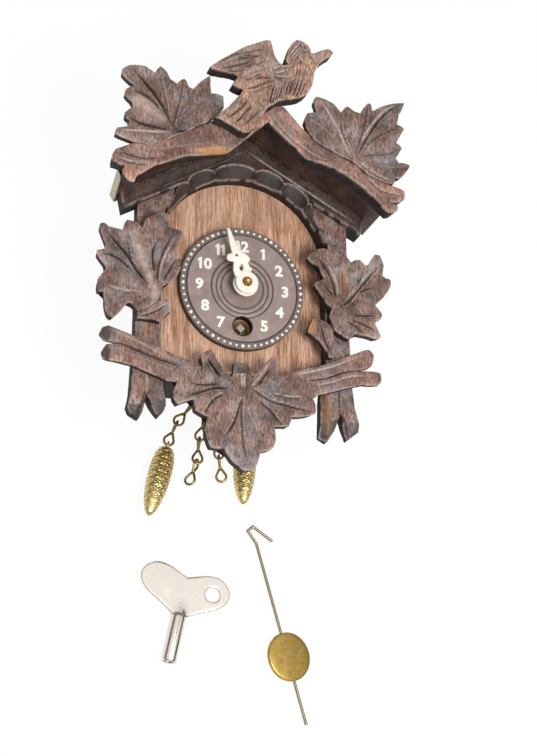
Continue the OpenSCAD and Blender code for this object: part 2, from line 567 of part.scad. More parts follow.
module movement_plate(z0, holes_r) {
  difference() {
    slab([[-plate_hw, -plate_low], [plate_hw, -plate_low], [plate_hw, 20], [plate_hw - 3, 23.5],
      [3 - plate_hw, 23.5], [-plate_hw, 20]], z0, z0 + plate_t);
    for (p = pillar_at) disc(pillar_end_r + 0.02, z0 - 1, z0 + plate_t + 1, p);
    for (p = arbors_at) disc(arbor_r - 0.2 + run_gap, z0 - 1, z0 + plate_t + 1, p);
    disc(wind_r * holes_r + run_gap, z0 - 1, z0 + plate_t + 1, wind_at);
    disc(arbor_r + run_gap, z0 - 1, z0 + plate_t + 1);
  }
}
module movement_front_plate() {
  color(brass) difference() {
    movement_plate(plates_z, 1);
    for (p = screw_at) disc(screw_r + 0.05, plates_z - 1, board_z + 1, p);
    disc(stud_r + 0.02, plates_z - 1, board_z + 1, [0, motion_y]);
  }
}
module movement_back_plate() { color(brass) movement_plate(back_plate_z, 0.6); }
pillar_r = 1.5;
pillar_end_r = 0.9;
module pillars() {
  color(brass) for (p = pillar_at) translate([p[0], p[1], 0]) {
    disc(pillar_r, mid, plates_z);
    disc(pillar_end_r, back_plate_z - 1.6, mid + 0.1);
    disc(pillar_end_r, plates_z - 0.1, board_z);
  }
}
module pillar_nuts() {
  color(steel) for (p = pillar_at) translate([p[0], p[1], back_plate_z - 1.3]) difference() {
    cylinder(r = 2, h = 1.3, $fn = 6);
    translate([0, 0, -1]) cylinder(r = pillar_end_r + 0.02, h = 4, $fn = 48);
  }
}
module movement_screws() {
  color(steel) for (p = screw_at) translate([p[0], p[1], 0]) difference() {
    union() {
      disc(1.6, plates_z - 0.9, plates_z);
      disc(screw_r - 0.02, plates_z - 0.1, board_z + screw_bite);
    }
    translate([-0.2, -2, plates_z - 1.4]) cube([0.4, 4, 0.9]);
  }
}
square_top = front_z + 0.6;
module winding_arbor() {
  color(steel) translate([0, -wind_drop, 0]) {
    disc(wind_r * 0.6, back_plate_z, mid + 0.2);
    disc(wind_r, mid + 0.1, board_z + 0.3);
    translate([0, 0, board_z + 0.2])
      cylinder(r = square_w / sqrt(2), h = square_top - board_z - 0.2, $fn = 4);
  }
}
ratchet_n = 20;
ratchet_r = 3.2;
ratchet_z = great_z - 1.2;
module ratchet_wheel() {
  p = 360 / ratchet_n;
  color(steel) translate([0, -wind_drop, 0]) difference() {
    slab([for (i = [0:ratchet_n - 1]) for (q = [[ratchet_r, 0], [ratchet_r - 0.6, 0.08]])
      pol(q[0], (i + q[1]) * p)], ratchet_z, ratchet_z + 1);
    disc(wind_r + 0.02, ratchet_z - 1, ratchet_z + 2);
  }
}
click_at = pol(6.4, 205);
click_pin_r = 0.5;
click_gap = 0.2;
click_nose_a = 165;
module great_wheel() {
  color(brass) translate([0, -wind_drop, 0]) difference() {
    slab(wheel_pts(great_n, great_m), great_z, great_z + 1.2);
    disc(wind_r + run_gap, great_z - 1, great_z + 2);
    disc(click_pin_r + run_gap, great_z - 1, great_z + 2, click_at);
    for (a = [20, 90, 290]) disc(2.4, great_z - 1, great_z + 2, pol(6.2, a));
  }
}
// The click stands just clear of the ratchet's teeth, over the gap that it drops into
module click() {
  nose = pol(ratchet_r + click_gap, click_nose_a);
  color(steel) translate([0, -wind_drop, 0]) {
    slab([nose, nose + [-0.2, 1], click_at + pol(1.1, 150), click_at + pol(1.1, 210),
      click_at + pol(1.1, 270), click_at + pol(1.1, 330), nose + [-0.8, -0.7]], ratchet_z, ratchet_z + 1);
    disc(click_pin_r, ratchet_z, great_z + 1.2, click_at);
  }
}
// A bent strip whose foot is riveted to the great wheel; its free end lies along the click
module click_spring() {
  foot = pol(8.3, 158);
  color(steel) translate([0, -wind_drop, 0]) {
    slab([foot + pol(0.7, 60), foot + pol(0.7, 150), foot + pol(0.7, 240), foot + pol(0.7, 330)],
      ratchet_z, great_z);
    slab([foot + [0.3, 0.3], foot + [-0.3, 0.2], foot + [-0.4, -2.6], foot + [-0.1, -2.6]],
      ratchet_z, ratchet_z + 0.8);
  }
}
// A spiral strip from the winding arbor out to a pillar
spring_t = 0.3;
spring_turns = 7;
spring_out = 9.4;
module mainspring() {
  n = spring_turns * 20;
  r0 = wind_r + 0.35;
  step = (spring_out - r0) / n;
  color(steel) translate([0, -wind_drop, 0])
    slab(concat([for (i = [0:n]) pol(r0 + step * i, i * 18)],
      [for (i = [n:-1:0]) pol(r0 + step * i + spring_t, i * 18)]), mid + 1, centre_z - 0.5);
}
// A wheel with four crossings
module crossed(n, m, z, at, a, bore) {
  r = n * m / 2;
  rim = r - 1.25 * m - 0.7;
  translate([at[0], at[1], 0]) rotate(a) difference() {
    slab(wheel_pts(n, m), z, z + wheel_t);
    disc(bore, z - 1, z + 2);
    for (k = [0:3]) rotate(90 * k) slab(concat([for (t = [12:11:78]) pol(rim, t)],
      [for (t = [65:-10:25]) pol(rim * 0.34, t)]), z - 1, z + 2);
  }
}
// An arbor with thinner pivots in both plates
module arbor(at, top) {
  disc(arbor_r - 0.2, back_plate_z + 0.05, top, at);
  disc(arbor_r, mid + 0.2, plates_z - 0.2, at);
}
module pinion(n, m, a, at, z0, z1) {
  translate([at[0], at[1], 0]) rotate(a) slab(pinion_pts(n, m), z0, z1);
}
module centre_arbor() {
  color(steel) {
    disc(arbor_r, back_plate_z + 0.05, minute_z + hand_t + nut_h + 0.4);
    pinion(centre_pin_n, great_m, centre_pin_a, [0, 0], great_z - 0.6, great_z + 1.8);
  }
}
wheel_bore = arbor_r + 0.02;
module centre_wheel() { color(brass) crossed(centre_n, centre_m, centre_z, [0, 0], centre_a, wheel_bore); }
module third_arbor() {
  color(steel) {
    arbor(third_at, board_z - 0.05);
    pinion(pin_n, centre_m, third_pin_a, third_at, centre_z - 0.6, centre_z + wheel_t + 0.6);
  }
}
module third_wheel() { color(brass) crossed(third_n, third_m, third_z, third_at, third_a, wheel_bore); }
module fourth_arbor() {
  color(steel) {
    arbor(fourth_at, board_z - 0.05);
    pinion(pin_n, third_m, fourth_pin_a, fourth_at, third_z - 0.6, third_z + wheel_t + 0.6);
  }
}
module fourth_wheel() { color(brass) crossed(fourth_n, fourth_m, fourth_z, fourth_at, fourth_a, wheel_bore); }
module escape_arbor() {
  color(steel) {
    arbor(escape_at, board_z - 0.05);
    pinion(pin_n, fourth_m, escape_pin_a, escape_at, fourth_z - 0.6, fourth_z + wheel_t + 0.6);
  }
}
escape_n = 30;
escape_r = 4.1;
module escape_wheel() {
  p = 360 / escape_n;
  color(brass) translate([escape_at[0], escape_at[1], 0]) difference() {
    slab([for (i = [0:escape_n - 1]) for (q = [[escape_r - 0.8, 0.3], [escape_r - 0.8, 0.6], [escape_r, 1]])
      pol(q[0], (i + q[1]) * p)], escape_z, escape_z + 0.6);
    disc(arbor_r + 0.02, escape_z - 1, escape_z + 2);
    for (a = [0:90:270]) disc(0.7, escape_z - 1, escape_z + 2, pol(1.9, a + 45));
  }
}
// The verge: a strip bent into two pallets over the escape wheel, on its arbor
module verge() {
  tip = pol(escape_r + 0.12, 132);
  out = pol(escape_r + 1, 132);
  side = pol(0.12, 42);
  color(steel) {
    disc(arbor_r - 0.2, leader_z - 2.4, board_z - 0.05, verge_at);
    disc(arbor_r, mid + 0.2, plates_z - 0.2, verge_at);
    for (s = [0, 1]) translate([escape_at[0], escape_at[1], 0]) mirror([s, 0, 0])
      slab([tip - side, tip + side, out + 2 * side, [-0.3, 5.2], [-0.3, 6.4], out + [-0.3, 0.5]],
        escape_z, escape_z + 0.6);
    disc(0.9, escape_z, escape_z + 0.6, verge_at);
  }
}
// The leader: a wire on the verge's arbor that carries the pendulum
leader_r = 0.5;
module leader() {
  y = verge_at[1];
  color(steel) {
    difference() {
      disc(1.3, leader_z - 0.7, leader_z + 0.7, verge_at);
      disc(arbor_r - 0.2 + 0.02, leader_z - 2, leader_z + 2, verge_at);
    }
    translate([0, -leader_drop, leader_z]) rotate([-90, 0, 0])
      cylinder(r = leader_r, h = y + leader_drop - 0.9);
    translate([0, -leader_drop, leader_z]) rotate([90, 0, 90]) rotate_extrude(angle = 250)
      translate([1.3, 0]) circle(r = leader_r);
  }
}
module verge_cock() {
  z = leader_z - 2.2;
  y = verge_at[1] - 1.2;
  color(brass) difference() {
    union() {
      slab([[-6, y], [6, y], [6, y + 2.4], [-6, y + 2.4]], z - 0.8, z);
      for (s = [-1, 1]) translate([s * 5.2 - 0.8, y, z - 0.1]) cube([1.6, 2.4, back_plate_z - z + 0.1]);
    }
    disc(arbor_r - 0.2 + run_gap, z - 2, z + 1, verge_at);
  }
}

// Motion work under the dial
motion_z = board_z + 0.4;
hour_wheel_z = motion_z + 1.5;
stud_r = 0.5;
cannon_a = 0;
minute_wheel_a = mesh([0, 0], [0, motion_y], cannon_n, minute_n, cannon_a);
hour_wheel_a = mesh([0, motion_y], [0, 0], pin_n, hour_n, minute_wheel_a);
module cannon_pinion() {
  color(steel) difference() {
    union() {
      disc(cannon_r, motion_z - 0.2, minute_z + hand_t + nut_h - 0.1);
      rotate(cannon_a) slab(pinion_pts(cannon_n, motion_m), motion_z - 0.2, motion_z + 1.1);
    }
    disc(pipe_r, motion_z - 2, minute_z + 5);
  }
}
module minute_wheel() {
  color(brass) translate([0, motion_y, 0]) rotate(minute_wheel_a) difference() {
    union() {
      slab(wheel_pts(minute_n, motion_m), motion_z, motion_z + wheel_t);
      slab(pinion_pts(pin_n, motion_m), motion_z + wheel_t - 0.1, hour_wheel_z + wheel_t + 0.2);
    }
    disc(stud_r + run_gap, motion_z - 1, motion_z + 6);
    for (a = [0:60:300]) disc(0.8, motion_z - 1, motion_z + 6, pol(2.9, a));
  }
}
module minute_stud() {
  color(steel) {
    disc(stud_r, plates_z, hour_wheel_z + wheel_t + 0.35, [0, motion_y]);
    difference() {
      disc(1, board_z, motion_z - 0.1, [0, motion_y]);
      disc(stud_r / 2, board_z - 1, board_z - 0.5, [0, motion_y]);
    }
  }
}
module hour_wheel() {
  color(brass) difference() {
    union() {
      rotate(hour_wheel_a) slab(wheel_pts(hour_n, motion_m), hour_wheel_z, hour_wheel_z + wheel_t);
      disc(hour_r, hour_wheel_z, hour_z + hand_t + 0.2);
    }
    disc(hour_in, hour_wheel_z - 1, hour_z + 5);
  }
}

// Chains: wire links whose two loops stand square to each other, lying down onto the surface
eye_r = 1.8;
eye_wire = 0.45;
// Each strand's eye: place along the bottom board, ring below that board, height above the back
eye_places = [[-7.9, 2.3, 5], [-3.8, 5.6, 5], [3.8, 3.6, 5], [8.3, 2.3, 5]];
eyes = [for (e = eye_places) [e[0], -case_drop - e[1], e[2]]];
module ring(r, w) {
  rotate_extrude($fn = 32) translate([r, 0]) circle(r = w, $fn = 16);
}
module chain_eyes() {
  shank_in = 2.2;
  color([0.3, 0.26, 0.16]) for (e = eyes) translate(e) {
    ring(eye_r, eye_wire);
    translate([0, eye_r - 0.1, 0]) rotate([-90, 0, 0])
      cylinder(r = eye_wire - 0.05, h = shank_in - case_drop - e[1] - eye_r + 0.1);
  }
}
// Places of the links of a strand: each heads at an angle along the surface and slopes down
link_gap = 2 * loop_r - 2 * link_wire - link_play;
function heading(h) = [cos(h[0]) * cos(h[1]), sin(h[0]) * cos(h[1]), sin(h[1])];
function first_at(eye, h) = eye + eye_r * heading([h[0], 0])
  + heading(h) * (loop_r - 2 * link_wire - link_play + loop_pitch / 2);
function link_at(eye, hs, i) = i == 0 ? first_at(eye, hs[0])
  : link_at(eye, hs, i - 1) + (heading(hs[i - 1]) + heading(hs[i])) * (loop_pitch + link_gap) / 2;
module link() {
  far = loop_pitch / 2;
  near = far - loop_r;
  for (s = [-1, 1]) translate([s * far, 0, 0]) rotate([s > 0 ? 0 : 90, 0, 0]) ring(loop_r, link_wire);
  wire([-near, 0, 0], [near, 0, 0], link_wire - 0.04);
}
module strand(eye, hs) {
  color([0.4, 0.34, 0.2]) for (i = [0:len(hs) - 1]) translate(link_at(eye, hs, i))
    rotate([0, 0, hs[i][0]]) rotate([0, -hs[i][1], 0]) rotate([hs[i][2], 0, 0]) link();
}
// Heading, slope and roll of each link, from the eye down
left_links = [[-128, -17, 10], [-113, 0, 0]];
left_free_links = [[-101.5, -17, -6], [-95, 0, 4], [-111, 0, 34]];
right_free_links = [[-106, -17, 8], [-91, 0, -6], [-83, 0, 14]];
right_links = [[-69, -19, 0]];
module chain_left() { strand(eyes[0], left_links); }
module chain_left_free() { strand(eyes[1], left_free_links); }
module chain_right_free() { strand(eyes[2], right_free_links); }
module chain_right() { strand(eyes[3], right_links); }
// Middle of a strand's last loop, which carries the cone
function last_loop(eye, hs) = let (n = len(hs) - 1) link_at(eye, hs, n) + heading(hs[n]) * loop_pitch / 2;
// Where the wire of that loop, whose link has no roll, passes under a piece that heads at an angle
function loop_side(eye, hs, a) = let (h = hs[len(hs) - 1], t = tan(a - h[0]) * cos(h[1]), c = 1 / sqrt(1 + t * t))
  last_loop(eye, hs) + loop_r * c * (heading(h) + t * heading([h[0] + 90, 0]));
// Cone weights with rows of scales, lying on the surface
cone_eye_r = 1.1;
cone_rows = 11;
function cone_w(t) = cone_r * (0.36 + 0.66 * sin(180 * pow(t, 0.86)) - 0.1 * t);
// A cone whose ring holds a loop's wire, heads at an angle along the surface and rises to its tip
module cone(from, a, rise) {
  at = from + heading([a, rise]) * (cone_eye_r - cone_eye_wire - link_wire - 0.1);
  translate(at) rotate([0, 0, a]) rotate([0, -rise, 0]) {
    rotate([90, 0, 0]) ring(cone_eye_r, cone_eye_wire);
    translate([cone_eye_r - 0.1, 0, 0]) rotate([0, 90, 0]) rotate_extrude() polygon(concat([[0, 0]],
      [for (i = [0:cone_rows - 1]) let (t = i / cone_rows, u = (i + 0.8) / cone_rows)
        for (q = [[cone_w(t) * 0.9, t], [cone_w(u), u]]) [q[0], q[1] * cone_len]],
      [[0.8, cone_len], [0, cone_len + 0.3]]));
  }
}
cone_eye_wire = 0.4;
cone_left_at = [-105.5, 8];
cone_right_at = [-96, 11];
module cone_left() {
  color(brass) cone(loop_side(eyes[0], left_links, cone_left_at[0]), cone_left_at[0], cone_left_at[1]);
}
module cone_right() {
  color(brass) cone(loop_side(eyes[3], right_links, cone_right_at[0]), cone_right_at[0], cone_right_at[1]);
}

// Winding key, lying on its stem's end and the rim of its bow
key_at = [-15.5, -116.7];
key_deg = -13.4;
bow_side = [[0.6, 0], [2.6, 0.5, -0.05], [10.2, 4.8, 0.1], [14.3, 8, 0.15], [15.3, 11.5, 0.2], [13, 15, 0.2],
  [9, 16.3, 0.1], [4.5, 15.3]];
bow_len = 16.3;
key_tilt = atan((stem_r - bow_t / 2) / (stem_len + bow_len));
module key_place() {
  translate([key_at[0], key_at[1], stem_r + 0.02]) rotate(key_deg) rotate([-key_tilt, 0, 0]) children();
}
module key_stem() {
  socket_r = (square_w + 0.2) / sqrt(2);
  color("silver") key_place() difference() {
    rotate([-90, 0, 0]) cylinder(r = stem_r, h = stem_len);
    translate([0, -0.1, 0]) rotate([-90, 0, 0]) rotate(45) cylinder(r = socket_r, h = 9, $fn = 4);
    translate([-0.12, -0.1, stem_r - 0.9]) cube([0.24, stem_len - bow_seat, 2]);
    translate([-stem_r - 1, stem_len - bow_seat, -bow_t / 2]) cube([2 * stem_r + 2, bow_seat + 1, bow_t]);
  }
}
bow_seat = 3;
// The pressed bow: two ears, one with a hole, and a tongue in the stem's slot
module key_bow() {
  side = bowed(bow_side);
  hw = stem_r - 0.2;
  low = 0.2 - bow_seat;
  line = concat([[0, 13.5]], mirrored(side), [[-hw, low], [hw, low]], side);
  color("silver") key_place() difference() {
    translate([0, stem_len, 0]) slab(line, -bow_t / 2 + 0.02, bow_t / 2 - 0.02);
    translate([9.4, stem_len + 10.2, -2]) cylinder(r = 2.4, h = 4);
  }
}

// Pendulum, lying on its rod and the rim of its bob
pendulum_at = [14.5, -76.6];
pendulum_deg = 15.5;
bob_tilt = 15;
bob_mid = bob_r * sin(bob_tilt) + bob_t / 2 * cos(bob_tilt) + 0.05;
rod_z = bob_mid - bob_t / 2 - rod_r - 0.12;
hook_pts = [[5.1, -0.2, 0.7], [0.3, 5.8, 0.4], [-1.8, 4.8, 0.2], [0, 0, 0]];
module wire(p, q, r) {
  d = q - p;
  translate(p) rotate([0, acos(d[2] / norm(d)), atan2(d[1], d[0])]) cylinder(r = r, h = norm(d));
}
module pendulum_place() {
  translate([pendulum_at[0], pendulum_at[1], rod_z]) rotate(pendulum_deg) children();
}
module pendulum_rod() {
  color("silver") pendulum_place() {
    for (i = [0:2]) wire(hook_pts[i], hook_pts[i + 1], rod_r);
    for (p = hook_pts) translate(p) sphere(r = rod_r + 0.02, $fn = 24);
    wire([0, 0, 0], [0, -rod_len, 0], rod_r);
  }
}
module pendulum_bob() {
  color(brass) pendulum_place() translate([0, -bob_drop, bob_mid - rod_z]) rotate([0, bob_tilt, 0])
    translate([0, 0, -bob_t / 2]) rotate_extrude($fn = 64) polygon([[0, 0], [bob_r - 0.5, 0], [bob_r, 0.5],
      [bob_r, bob_t - 0.5], [bob_r - 0.5, bob_t], [0, bob_t]]);
}
module bob_clip() {
  gap = rod_r + 0.06;
  color(steel) pendulum_place() translate([0, -bob_drop, 0]) difference() {
    translate([-1.4, -2.6, -gap - 0.4]) cube([2.8, 5.2, 2 * gap + 0.42]);
    rotate([90, 0, 0]) cylinder(r = gap, h = 8, center = true);
    translate([0, 0, bob_mid - rod_z]) rotate([0, bob_tilt, 0])
      translate([-9, -9, -bob_t / 2 - 0.03]) cube([18, 18, 6]);
  }
}

front_board();
left_side();
right_side();
bottom_board();
case_roof();
back_cover();
cover_screws();
left_roof();
right_roof();
fascia();
left_post();
right_post();
left_leaf();
right_leaf();
lower_carving();
crest_carving();
bird();
dial();
hour_hand();
minute_hand();
hand_nut();
movement_front_plate();
movement_back_plate();
pillars();
pillar_nuts();
winding_arbor();
ratchet_wheel();
great_wheel();
click();
click_spring();
mainspring();
centre_arbor();
centre_wheel();
third_arbor();
third_wheel();
fourth_arbor();
fourth_wheel();
escape_arbor();
escape_wheel();
verge();
leader();
verge_cock();
cannon_pinion();
minute_wheel();
minute_stud();
hour_wheel();
movement_screws();
chain_eyes();
chain_left();
chain_left_free();
chain_right_free();
chain_right();
cone_left();
cone_right();
key_stem();
key_bow();
pendulum_rod();
pendulum_bob();
bob_clip();
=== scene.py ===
"""Looks for a black forest clock: carved walnut, dial, hands, chains, cones, key and pendulum.

Lengths here are millimetres in the part's own frame: X to the right, Y up the dial, Z out of it.
"""
import json
import math

import bmesh
import bpy
import numpy as np
from mathutils import Matrix, Vector
from mathutils.geometry import delaunay_2d_cdt


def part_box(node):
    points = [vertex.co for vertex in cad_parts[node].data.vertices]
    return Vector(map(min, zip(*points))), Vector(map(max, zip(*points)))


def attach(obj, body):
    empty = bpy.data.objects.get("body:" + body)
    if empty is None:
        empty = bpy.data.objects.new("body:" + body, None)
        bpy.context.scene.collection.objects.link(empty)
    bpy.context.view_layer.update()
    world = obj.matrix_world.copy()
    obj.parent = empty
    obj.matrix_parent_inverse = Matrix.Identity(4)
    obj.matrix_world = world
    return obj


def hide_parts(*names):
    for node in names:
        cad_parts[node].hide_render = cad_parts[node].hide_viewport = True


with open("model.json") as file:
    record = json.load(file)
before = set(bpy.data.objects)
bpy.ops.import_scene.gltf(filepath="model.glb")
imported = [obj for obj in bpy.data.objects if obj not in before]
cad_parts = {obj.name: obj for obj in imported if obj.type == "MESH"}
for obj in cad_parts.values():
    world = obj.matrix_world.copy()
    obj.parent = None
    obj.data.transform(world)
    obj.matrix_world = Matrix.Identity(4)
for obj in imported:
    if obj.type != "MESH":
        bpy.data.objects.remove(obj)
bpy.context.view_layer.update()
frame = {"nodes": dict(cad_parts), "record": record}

MM = 0.001
CAMERA_AT = (-133.93, -185.22, 481.34)
TINY = 1e-9
BATCH = 3000  # points handled at once
WALL_ROWS = (0.3, 0.65, 1.0)  # shares of the way down a carving's wall
scene = bpy.context.scene


def rgb(code):
    """A colour written as six hex digits, as linear values with alpha."""
    values = [int(code[i : i + 2], 16) / 255 for i in (0, 2, 4)]
    linear = [v / 12.92 if v <= 0.04045 else ((v + 0.055) / 1.055) ** 2.4 for v in values]
    return (*linear, 1.0)


def levels(node):
    """The lowest and highest Z of a CAD node."""
    low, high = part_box(node)
    return low[2] / MM, high[2] / MM


# Outlines of the carvings: each point is x, y and how far the edge after it bows out
LEFT_LEAF = [
    (-26.4, 20.3, 0.1), (-30.5, 20.2, 0.1), (-33.8, 17.5), (-35, 14.2, 0.2), (-37.6, 16.3),
    (-39.8, 16.6, 0.2), (-41.1, 12.9), (-45.7, 13.6), (-47.3, 14.7), (-48.5, 14.2, 0.2), (-48.6, 12.5),
    (-46.5, 7), (-46.7, 6), (-49.3, 5, 0.2), (-49.2, 3.4), (-46.2, -0.7), (-48.8, -4.4, 0.15),
    (-48.9, -8.6, 0.2), (-47.1, -8.6), (-46.8, -10.7, 0.1), (-45.7, -16.1, 0.2), (-44, -17.2, 0.1),
    (-40.5, -13.2), (-39.4, -11.7), (-38.4, -11.5), (-36.1, -14.2, 0.1), (-30, -10.3, 0.1), (-29, -6.9),
    (-28.2, -5), (-25.7, -3.6, 0.1), (-22.3, 1.8), (-22.1, 4.3, 0.2), (-23, 5), (-24.6, 5),
    (-24.8, 7.2), (-23.2, 10.6), (-21.7, 12.7), (-21.3, 14.1, 0.2), (-22.3, 15), (-26.1, 15.5),
]
RIGHT_LEAF = [
    (34.3, -16.9), (36, -14.7), (40.2, -15), (43.1, -15.7), (45, -15.2, 0.2), (44.8, -13.6),
    (43.4, -10.2), (45.2, -8.8), (46, -7.3, 0.2), (45.4, -5.9), (43.7, -3.8), (45.6, -1.9, 0.1),
    (49.2, 3.1, 0.1), (49.5, 5.6, 0.2), (47.7, 6.2), (46.6, 7), (47.2, 10.6, 0.1), (45.8, 14.1, 0.2),
    (43.9, 14.1), (41.6, 10.2), (40.4, 10.2), (38.9, 11.7, 0.2), (35.6, 10.5), (34, 12.6, 0.1),
    (27.4, 16.4), (27.5, 14.3, 0.15), (23.1, 13.5), (21.4, 11.8), (20.2, 10.4, 0.2), (24.5, 7.7, 0.1),
    (26, 3.9), (24.5, 2.7), (23.3, 2.2, 0.2), (22.5, 1), (25.2, -2.8, 0.1), (28.1, -6.9),
    (27.3, -9.4, 0.1), (28.9, -14, 0.1),
]
LEFT_TWIG = [
    (-26.3, -8.6, 0.1), (-25, -12.8, 0.1), (-28.6, -16.6, 0.1), (-36, -16.2, 0.1), (-36.3, -14),
    (-30, -9.9),
]
RIGHT_TWIG = [
    (22.5, -9.9, 0.1), (20.2, -15, 0.1), (24, -17.6, -0.1), (27.3, -23.2), (29, -23.2), (29, -12.5, 0.1),
]
LOWER_LEAF = [
    (-0.4, -62, 0.2), (2.8, -61.2, 0.1), (4.8, -55.6), (8, -54.8, 0.2), (9.9, -51.5, 0.1), (9.4, -46.9),
    (14.3, -46.6, 0.1), (15.3, -43.2, 0.05), (20.5, -42.6, 0.1), (23.4, -41.4, 0.2), (22.7, -36.6, 0.1),
    (26, -33.8, 0.2), (23.3, -31.2, 0.1), (15.3, -29.2), (12.2, -32.6), (10.3, -28.4, 0.1),
    (10.9, -25, 0.2), (9.1, -23.4), (5.6, -27.6), (2.3, -31.6), (1.9, -28), (1.5, -26.2),
    (-3.4, -26.3), (-3.7, -28.5), (-4.3, -31.8), (-7.2, -29.4), (-11.2, -22.8, 0.1), (-14.6, -25.4, 0.1),
    (-13.9, -28), (-14.3, -31.6), (-15.3, -29.3, 0.1), (-21.3, -29.6, 0.1), (-24.7, -32.5, 0.1),
    (-21.9, -34.4), (-23.2, -37, 0.1), (-23.5, -40, 0.1), (-21.8, -42.1), (-17, -40), (-16.5, -43.2, 0.1),
    (-12.4, -45.3), (-13.2, -50, 0.1), (-11.3, -55.2, 0.1), (-7.2, -55.4), (-4.9, -58.5, 0.1),
]
RIGHT_BRANCH = [
    (9, -34), (16, -36), (26.2, -34.6), (33.7, -32.1), (40.3, -30.1, 0.1), (46, -29.6, 0.1),
    (47.4, -27.4, 0.1), (47.2, -25), (42.6, -25.2), (38.5, -25.2), (42.2, -24.4, 0.1), (43.8, -23, 0.1),
    (45, -19.1, 0.1), (43.4, -17.7, 0.1), (41.2, -18.1), (33.7, -21.4), (25.3, -25.2, 0.05),
    (17.5, -27.5), (9, -30.5),
]
LEFT_BRANCH = [
    (-12, -34.6), (-12, -30), (-16.4, -27.6), (-21.5, -26.2), (-28.8, -23.2), (-37.2, -19.9),
    (-44.2, -17.7, 0.1), (-45.9, -18.2, 0.1), (-46.8, -20.8, 0.1), (-45.4, -22.7), (-40.6, -23.4),
    (-44.6, -23.9, 0.1), (-46.1, -26.6, 0.1), (-45.4, -28.8, 0.1), (-42.2, -29.3), (-36.3, -30.4),
    (-25.1, -34.6),
]
BAND = [
    (-47.9, 30.8, 0.1), (-49.2, 28.5, 0.1), (-49, 26.3), (-45.4, 25.4), (-46, 23.5, 0.2), (-44.3, 20.8, 0.2),
    (-42.1, 20.3), (-41.5, 22.2), (-35.8, 26.6), (-24.2, 32.1), (-11.7, 34.7), (1.2, 47.1), (14.4, 35.4),
    (19.2, 35), (26.7, 32.2), (33.3, 28), (41.3, 20.2, 0.2), (44.2, 21.2, 0.2), (44.8, 23), (42.3, 24.2),
    (44.8, 24.5, 0.2), (47.1, 25.8, 0.1), (47.2, 28.7, 0.1), (43.3, 30), (39, 31.6), (30, 38), (20, 41),
    (13, 46), (6.7, 53), (0, 55), (-8, 50), (-14, 47), (-20, 43), (-30, 38), (-42.9, 33.3),
]
RIGHT_CREST = [
    (30, 35.5), (34, 32.6), (39, 31, 0.1), (43.3, 30.3), (43.8, 32.4), (45.4, 32.4, 0.1), (49.1, 37.6, 0.2),
    (45.4, 38.2), (44.2, 39.6), (46.5, 43.4, 0.2), (44.6, 45.3), (47.6, 50.6, 0.2), (45.2, 52.1),
    (46, 55.8, 0.1), (48.1, 60.3, 0.1), (40, 57.9), (36.7, 55.7), (36.3, 57.9, 0.2), (35.2, 58.3, 0.1),
    (32.4, 54.2), (30.4, 54.6), (28.2, 56, 0.2), (26.7, 55), (25.6, 53.6), (23.3, 56.3, 0.1),
    (17.5, 58, 0.3), (16.2, 55.8), (17.1, 52.4), (14.2, 51.6, 0.15), (12.9, 48.3, 0.1), (15.5, 43),
    (19, 40.3),
]
LEFT_CREST = [
    (-13.9, 49.2), (-14, 53.2, 0.2), (-17.9, 53.8), (-18.3, 56.7, 0.1), (-18.4, 60, 0.1), (-23.8, 54.6),
    (-25.3, 55), (-26.2, 57.1, 0.2), (-27.1, 57.5, 0.1), (-29.2, 55.6), (-31.3, 56.7), (-32.5, 59.2, 0.1),
    (-34.6, 60.8, 0.1), (-36.3, 58.3), (-39.2, 60, 0.1), (-44.2, 59.8, 0.1), (-46.7, 57.9, 0.2),
    (-46.9, 56.2, 0.1), (-42.9, 52.9), (-45.4, 51.2, 0.1), (-46, 49.2, 0.1), (-43.7, 47), (-43.3, 45.4),
    (-45.7, 42.9, 0.2), (-45.7, 41.2), (-44.2, 40.4), (-44.7, 38.4), (-48, 37.4, 0.1), (-48.8, 35.3, 0.1),
    (-46.2, 34.2), (-42.9, 33.3), (-38, 33), (-32, 35.5), (-19.5, 43.3), (-15.5, 46.5),
]
BIRD = [
    (-18.1, 43, -0.1), (-9.3, 39.2, 0.1), (-7, 39.4), (-5.2, 41.5), (-0.6, 49.2, 0.1), (2.8, 51.9, 0.05),
    (9.8, 53.8, 0.2), (14.2, 59, 0.05), (15, 63.6, -0.05), (17.3, 67.8, -0.05), (21.1, 71.1, 0.1),
    (21.9, 72.3), (21.1, 73.1, 0.1), (19.6, 73.3, 0.05), (15.7, 71.3), (14.2, 70.9), (14.2, 72.3, 0.1),
    (13, 74, 0.15), (9.4, 75, 0.2), (6.9, 71.5), (5.5, 67.3, 0.05), (6.1, 65.7, -0.1), (4.8, 65, -0.1),
    (3.2, 65.7, -0.1), (1.7, 67.8), (0.5, 73, 0.1), (-1.8, 72.7), (-8.1, 69.6), (-16.2, 63.6),
    (-19.8, 60.3, 0.1), (-18.1, 59.6), (-12.3, 59.4), (-10.8, 59), (-10.6, 58.2), (-12.5, 55.3, 0.1),
    (-8.9, 54), (-9.8, 52.3), (-13.9, 47.1, 0.05),
]
HOUR_LINE = [
    (-3.6, -1.4, 0.2), (1, -3.6, 0.2), (3.8, 0.4, 0.2), (1.6, 3.4), (2.2, 5.4, 0.3), (0.2, 6.8),
    (0.6, 8.4, 0.3), (-0.9, 9.4), (-1.9, 14.2), (-2.9, 14.1), (-2.2, 9.3, 0.3), (-3.4, 8.2),
    (-2.6, 6.6, 0.3), (-3.9, 5), (-2.4, 3, 0.2),
]
